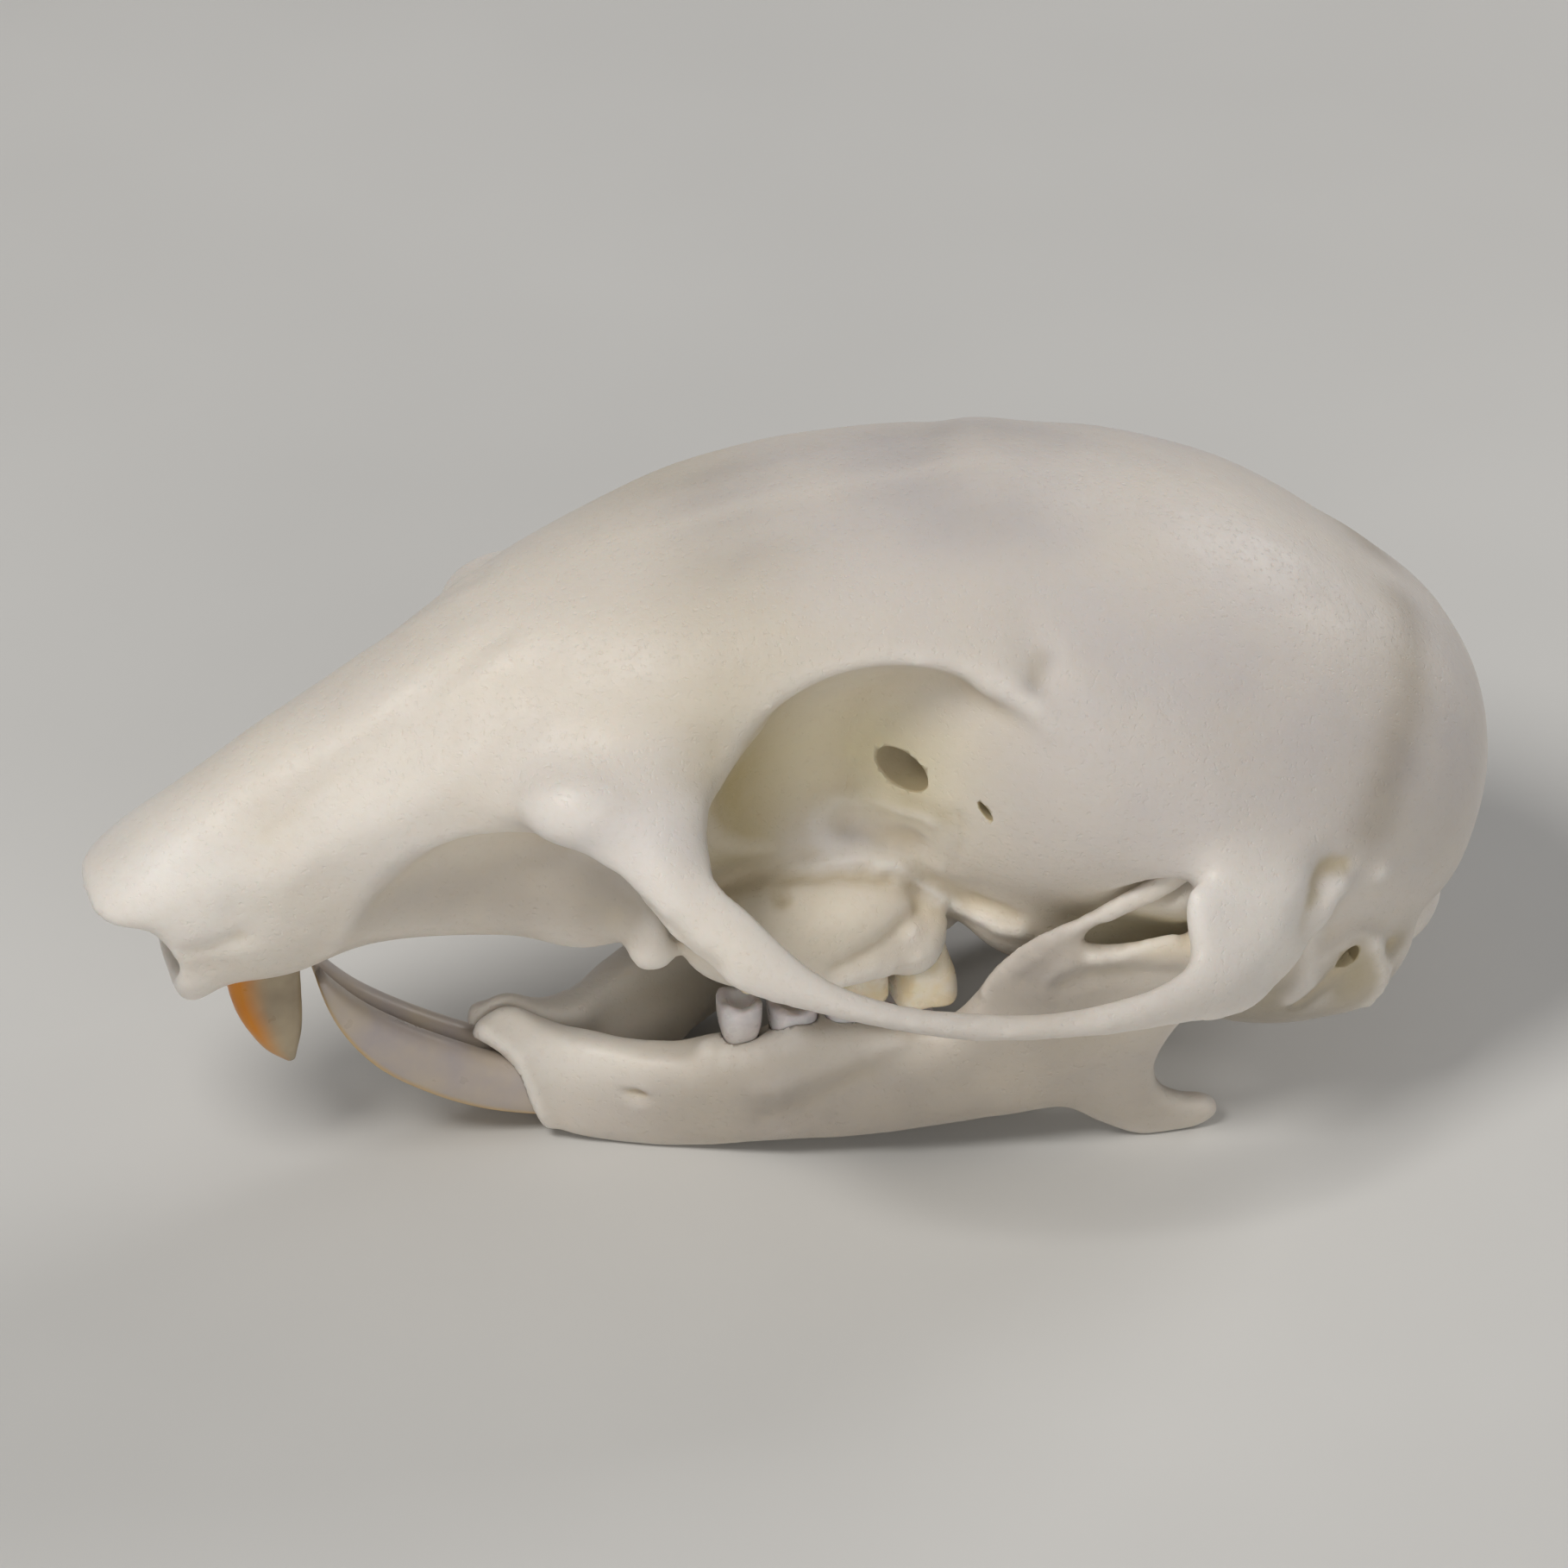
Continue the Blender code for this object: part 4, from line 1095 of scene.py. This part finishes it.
# Ridges and grooves of the cranium: path as x, distance from the midline and z, width, height
CRANIUM_STROKES = (
    ("suture of the nasal bone", ((-16.5, 2.42, 10.0), (-16.0, 2.41, 11.3), (-15.3, 2.24, 12.6),
     (-14.3, 2.09, 13.6), (-12.6, 2.02, 14.9), (-10.5, 1.79, 16.4), (-8.5, 1.48, 17.7)), 0.40, -0.08),
    ("valley beside the nasal bone", ((-15.3, 2.1, 12.8), (-13.0, 2.3, 14.2), (-10.6, 2.6, 15.7),
     (-8.4, 3.0, 16.9)), 0.9, -0.16),
    ("swelling over the incisor's root", ((-15.7, 2.46, 11.2), (-14.2, 2.66, 12.2), (-13.0, 2.8, 12.9),
     (-11.3, 3.1, 13.9), (-9.7, 3.5, 14.9)), 0.85, 0.20),
    ("suture of the premaxilla", ((-16.1, 2.47, 9.3), (-15.7, 2.55, 10.5), (-15.2, 2.53, 11.8),
     (-14.4, 2.4, 13.0)), 0.35, -0.06),
    ("edge of the masseter's field", ((-13.8, 2.3, 8.3), (-13.35, 2.76, 9.45), (-12.8, 3.0, 10.4),
     (-12.1, 2.9, 11.1), (-11.3, 3.0, 11.8), (-10.3, 3.3, 12.3), (-9.3, 3.6, 12.6)), 0.34, 0.10),
    ("front rim of the orbit", ((-2.0, 4.9, 15.6), (-2.6, 5.3, 14.9), (-3.2, 5.9, 14.2), (-3.5, 6.3, 13.8),
     (-3.6, 6.9, 13.2)), 0.75, 0.26),
    ("edge of the tooth sockets", ((-1.6, 4.6, 6.9), (0.4, 4.9, 6.8), (1.8, 4.7, 6.8)), 0.45, 0.34),
    ("front edge of the arch's hind root", ((9.3, 9.4, 10.2), (9.8, 9.0, 10.8), (10.4, 8.6, 11.2)),
     0.6, 0.16),
    ("back edge of the arch's hind root", ((13.7, 8.6, 10.6), (13.5, 8.9, 9.9), (13.2, 9.2, 9.2),
     (12.8, 9.4, 8.5), (12.3, 9.5, 7.9)), 0.7, -0.30),
    ("trim below the arch's front root", ((-6.6, 7.0, 12.6), (-5.96, 7.77, 12.2), (-5.39, 8.43, 11.8),
     (-4.88, 8.87, 11.3), (-4.35, 9.2, 11.0)), 0.42, -0.26),
    ("valley above the front nub", ((-6.3, 3.6, 9.0), (-5.7, 3.9, 9.4), (-5.1, 4.1, 9.6)), 0.40, -0.12),
    ("premaxilla's notch", ((-17.6, 1.9, 9.0), (-16.9, 2.3, 9.1), (-16.3, 2.45, 9.4)), 0.26, -0.14),
    ("lambdoid crest", ((17.9, 0.0, 14.4), (17.7, 1.48, 14.46), (17.2, 3.56, 14.1), (16.7, 5.16, 13.5),
     (16.0, 6.39, 12.7), (15.46, 7.16, 11.8)), 0.60, 0.03),
    ("hollow before the lambdoid crest", ((16.8, 0.0, 15.2), (16.7, 1.6, 15.2), (16.2, 3.7, 14.8),
     (15.7, 5.3, 14.2), (15.1, 6.6, 13.2)), 0.9, -0.04),
    ("groove behind the arch's root", ((14.3, 7.88, 10.36), (13.8, 8.1, 10.5), (13.5, 8.4, 10.2),
     (13.3, 8.6, 9.6), (13.1, 8.7, 9.0), (13.0, 8.6, 8.4)), 0.22, -0.24),
    ("bar before the ear opening", ((13.7, 8.3, 9.5), (13.6, 8.1, 8.7), (13.5, 7.8, 7.9), (13.5, 7.5, 6.9),
     (13.4, 7.35, 6.0), (13.1, 7.2, 5.5)), 0.30, 0.20),
    ("rim above the ear opening", ((13.9, 7.5, 6.9), (14.5, 7.3, 7.25), (14.9, 7.2, 7.45), (15.4, 7.14, 7.1)),
     0.18, 0.14),
    ("rim behind the ear opening", ((15.4, 7.15, 7.0), (15.7, 7.1, 6.4), (15.8, 6.8, 5.2), (15.5, 6.6, 4.5)),
     0.20, 0.22),
    ("furrow below the ear opening", ((14.5, 7.36, 6.3), (14.1, 7.34, 5.9), (13.7, 7.3, 5.5),
     (13.2, 7.1, 5.1)), 0.18, -0.26),
    ("sinus of the temporal line", ((6.04, 5.78, 17.39), (5.64, 6.12, 16.87)), 0.34, -0.07),
    ("upper edge of the palatine's wall", ((0.19, 2.87, 10.9), (0.61, 2.68, 11.24), (1.35, 2.73, 11.35),
     (1.96, 3.26, 11.52), (2.58, 3.8, 11.43), (3.19, 4.33, 11.39)), 0.24, 0.16),
    ("shallow of the palatine's wall", ((0.93, 3.21, 10.65), (1.45, 3.33, 10.61), (2.16, 3.5, 10.4),
     (2.84, 3.76, 10.31)), 0.36, -0.16),
    ("lower edge of the palatine's wall", ((-0.7, 3.6, 10.0), (0.1, 3.7, 9.98), (1.0, 3.7, 9.9),
     (1.86, 3.71, 9.8), (2.64, 3.61, 9.5)), 0.20, 0.16),
    ("step above the tooth roots", ((-0.9, 3.8, 9.6), (0.06, 3.9, 9.6), (1.05, 3.95, 9.45), (2.1, 3.9, 9.15)),
     0.15, -0.20),
    ("crest of the pterygoid wing", ((1.9, 3.75, 9.6), (2.5, 3.6, 9.2), (3.13, 3.3, 8.6), (3.77, 3.17, 7.8),
     (4.41, 3.19, 7.34), (4.87, 3.82, 7.34), (5.39, 4.26, 7.23), (5.82, 4.54, 7.13)), 0.26, 0.24),
    ("crease above the pterygoid wing", ((4.5, 3.8, 8.0), (5.0, 4.1, 7.9), (5.5, 4.5, 7.8)), 0.20, -0.14),
    ("arched groove", ((3.82, 4.95, 11.77), (3.89, 4.9, 11.22), (3.91, 4.49, 10.19), (3.96, 4.04, 9.5)),
     0.13, -0.12),
    ("lower edge of the tooth roots' dome", ((2.95, 3.88, 8.08), (2.27, 4.58, 8.08), (1.56, 4.9, 7.78),
     (0.77, 5.07, 7.46), (0.1, 5.1, 7.2)), 0.20, -0.18),
)
# Round swellings and pits of the cranium: centre, radii, height
CRANIUM_DABS = (
    ("dome over the tooth roots", (0.9, 4.7, 8.8), (1.5, 1.2, 0.7), 0.14),
    ("lower front corner of the premaxilla", (-17.0, 1.5, 8.2), (0.8, 1.2, 0.6), -0.44),
    ("lower corner of the arch's hind root", (11.9, 9.6, 7.9), (0.9, 0.8, 0.6), -0.36),
    ("lobe before the arched groove", (3.5, 3.8, 9.3), (0.5, 0.7, 0.5), 0.14),
    ("foramen of the tooth roots", (-1.1, 4.2, 9.35), (0.16, 0.4, 0.14), -0.35),
    ("knob over the third molar", (2.6, 4.45, 7.7), (0.28, 0.5, 0.35), 0.16),
    ("tear bone's spike", (-3.6, 7.3, 13.0), (0.40, 0.9, 0.40), 0.32),
    ("notch below the tear bone's spike", (-4.3, 7.9, 12.65), (0.28, 0.6, 0.24), -0.30),
    ("pit behind the arch's root", (12.96, 8.8, 9.07), (0.26, 0.5, 0.34), -0.30),
    ("front mastoid knob", (14.1, 8.1, 9.74), (0.36, 0.6, 0.34), 0.22),
    ("rear mastoid knob", (15.53, 7.42, 9.62), (0.28, 0.5, 0.28), 0.16),
    ("field round the ear opening", (14.7, 7.24, 5.8), (0.6, 0.9, 0.8), -0.26),
    ("hollow above the condyle", (16.2, 6.87, 6.5), (0.36, 0.6, 0.28), -0.34),
)
# Hollows that are filled before the modelling and places that are smoothed after it: rounds, centre, radii
CRANIUM_FILLINGS = (
    ("above the arch's front root", 150, (-6.6, 5.6, 15.2), (2.2, 2.2, 2.2)),
    ("above the arch's hind root", 100, (12.5, 8.2, 11.2), (2.0, 1.5, 1.5)),
    ("crease between the braincase and the pterygoid region", 100, (7.0, 5.0, 8.6), (3.0, 1.5, 1.5)),
    ("behind the arch's hind root", 400, (13.2, 8.6, 9.0), (1.9, 2.0, 2.6)),
)
CRANIUM_SMOOTHINGS = (
    ("back of the arch's hind root", 60, (12.2, 9.4, 9.4), (1.3, 1.2, 2.2)),
    ("rim of the orbit at the tear bone", 30, (-3.9, 7.0, 13.4), (0.8, 1.4, 1.0)),
    ("upper front of the arch's hind root", 60, (10.9, 8.9, 10.6), (1.0, 1.0, 1.4)),
    ("field of the masseter", 160, (-8.8, 3.3, 9.6), (1.8, 1.6, 1.6)),
)
# Holes of the cranium: centre, direction of the long axis, half length, half width, outward direction, depth
CRANIUM_HOLES = (
    ("optic foramen", (2.44, 3.82, 12.88), (1.01, 0.93, -0.55), 0.86, 0.64, (-0.69, 0.72, -0.03), 1.3),
    ("sphenoidal fissure", (4.42, 5.56, 12.29), (0.33, 0.20, -0.56), 0.34, 0.13, (-0.5, 0.85, 0.1), 0.6),
    ("ear opening", (14.66, 7.3, 6.62), (0.55, 0.0, 0.85), 0.46, 0.26, (0.05, 1.0, 0.05), 2.4),
)
# Ridges and grooves of the mandible, in the same columns as the cranium's
MANDIBLE_STROKES = (
    ("furrow below the masseter's ridge", ((-1.52, 4.17, 1.51), (-0.33, 4.49, 2.17), (1.11, 4.76, 3.0),
     (1.81, 5.0, 3.6), (2.56, 5.02, 4.02)), 0.50, -0.16),
    ("masseter's ridge", ((-1.8, 4.2, 2.8), (-0.35, 4.56, 3.45), (1.1, 4.75, 3.87), (2.1, 4.81, 4.2)),
     0.50, 0.10),
    ("edge of the tooth sockets", ((-3.0, 3.0, 4.2), (-2.0, 3.6, 4.2), (-0.6, 3.9, 4.1)), 0.45, 0.30),
    ("rim round the incisor", ((-9.0, 0.5, 3.5), (-8.5, 0.9, 3.16), (-8.14, 1.1, 2.84), (-7.95, 1.3, 2.25),
     (-7.8, 1.4, 1.74), (-7.55, 1.4, 1.11), (-7.2, 1.3, 0.6)), 0.26, 0.20),
    ("hinge's bar", ((7.2, 6.95, 7.7), (8.3, 7.1, 7.8), (9.5, 7.2, 7.95)), 0.22, 0.20),
    ("furrow below the hinge's bar", ((6.42, 6.73, 6.7), (7.1, 6.98, 7.05), (8.48, 7.25, 7.2),
     (9.6, 7.3, 7.3)), 0.36, -0.14),
    ("edge of the coronoid process", ((4.2, 5.4, 6.1), (4.9, 5.65, 6.9), (5.79, 6.03, 8.0), (7.2, 6.9, 9.3),
     (8.73, 7.15, 10.2), (9.6, 7.3, 10.5)), 0.20, 0.12),
    ("hollow beside the coronoid's edge", ((5.4, 6.3, 6.8), (6.3, 6.6, 7.9), (7.3, 6.9, 8.7)), 0.35, -0.12),
)
# Pits of the mandible, in the same columns as the cranium's
MANDIBLE_DABS = (
    ("chin foramen", (-5.07, 2.6, 1.97), (0.32, 0.5, 0.14), -0.40),
)


def hole(centre, along, half_length, half_width, outward, depth, side):
    """Cutter for an oval hole with a rounded floor."""
    out = Vector(outward).normalized()
    across = Vector(along)
    across = (across - out * across.dot(out)).normalized()
    upward = out.cross(across)
    rings = []
    mouth = [(0.8, 1.15), (0.25, 1.08), (-0.1, 1.0)]
    floor = [(-0.6 * depth, 0.95), (-0.9 * depth, 0.8), (-depth, 0.4)]
    for level, share in mouth + floor:
        ring = []
        for angle in turns(HOLE_SIDES):
            place = Vector(centre) + out * level + across * (math.cos(angle) * half_length * share)
            place += upward * (math.sin(angle) * half_width * share)
            ring.append((place.x, side * place.y, place.z))
        rings.append(ring)
    return loft(rings)


def modelled(clay, strokes, dabs):
    """Draws the named ridges, grooves, knobs and pits."""
    for _, path, width, height in strokes:
        stroke(clay, path, width, height)
    for _, centre, radii, height in dabs:
        dab(clay, np.array(centre), np.array(radii), height)
    clay.read_normals()


def cranium_clay():
    """The cranium, remeshed finely and modelled."""
    masses = [face(BONE_VOXEL), braincase(BONE_VOXEL), *cranium_additions()]
    room = [swollen(mandible_mesh(side, JAW_VOXEL, 4), JAW_GAP) for side in SIDES.values()]
    whole = carve(fuse(masses, BONE_VOXEL), room)
    clay = Clay(fuse([whole], FINE_BONE))
    clay.relax(8)
    for _, rounds, centre, radii in CRANIUM_FILLINGS:
        clay.fill(rounds, region(clay, centre, radii))
    undulate(clay, 4.0, 0.10)
    modelled(clay, CRANIUM_STROKES, CRANIUM_DABS)
    for _, rounds, centre, radii in CRANIUM_SMOOTHINGS:
        clay.relax(rounds, region(clay, centre, radii))
    clay.relax(2)
    return clay


def mandible_clay(side):
    """One half of the lower jaw, remeshed finely and modelled."""
    clay = Clay(fuse([mandible_mesh(side, JAW_VOXEL, 2)], FINE_JAW))
    clay.relax(6)
    undulate(clay, 3.0, 0.05)
    modelled(clay, MANDIBLE_STROKES, MANDIBLE_DABS)
    clay.relax(2)
    return clay


def bones_and_teeth():
    """Every piece of the skull."""
    bone = bone_material("bone")
    upper = incisor_material(
        "upper_incisor", DENTINE, ENAMEL_ORANGE, ENAMEL_AMBER,
        strip=(0.02, 0.62), fade=(0.80, 1.0, 1.0, 0.3),
    )
    lower = incisor_material(
        "lower_incisor", DENTINE_GREY, ENAMEL_YELLOW, ENAMEL_YELLOW,
        strip=(0.55, 0.85), fade=(0.0, 0.2, 1.0, 1.0),
    )
    upper_cheek = cheek_tooth_material("upper_cheek_tooth", TOOTH_CREAM, TOOTH_WHITE)
    lower_cheek = cheek_tooth_material("lower_cheek_tooth", TOOTH_LAVENDER, TOOTH_PEARL)
    upper_sockets = []
    for word, side in SIDES.items():
        tooth = fine_incisor(UPPER_INCISOR_PATH, side, 1)
        shown(f"upper_incisor_{word}", tooth, upper)
        tooth = fine_incisor(LOWER_INCISOR_PATH, side, -1)
        shown(f"lower_incisor_{word}", tooth, lower)
        upper_sockets.append(incisor_socket(UPPER_INCISOR_PATH[:5], side))
        lower_sockets = [incisor_socket(LOWER_INCISOR_PATH[:6], side)]
        for place in UPPER_CHEEK_TEETH:
            tooth = fine_cheek_tooth(place, side, 1)
            shown(f"upper_{place[0]}_{word}", tooth, upper_cheek)
            upper_sockets.append(cheek_tooth_socket(place, side, 1))
        for place in LOWER_CHEEK_TEETH:
            tooth = fine_cheek_tooth(place, side, -1)
            shown(f"lower_{place[0]}_{word}", tooth, lower_cheek)
            lower_sockets.append(cheek_tooth_socket(place, side, -1))
        clay = mandible_clay(side)
        within_box(clay)
        paint(clay, IVORY, MANDIBLE_LIGHT_AND_SHADE, ())
        # painted shade in the opened sockets
        carved = shade_cuts(carve(clay.mesh, [joined(lower_sockets)]), clay, SHADE)
        shown(f"mandible_{word}", carved, bone)
    clay = cranium_clay()
    within_box(clay)
    paint(clay, IVORY, CRANIUM_TINTS, CRANIUM_SHADE_AND_HIGHLIGHT_LINES)
    holes = [hole(*row[1:], side) for row in CRANIUM_HOLES for side in SIDES.values()]
    # painted shade in the opened sockets and holes
    carved = shade_cuts(carve(clay.mesh, [joined(upper_sockets), *holes]), clay, SHADE_OLIVE)
    shown("cranium", carved, bone)


bpy.context.scene.view_settings.view_transform = "Standard"
camera()
bones_and_teeth()
studio()
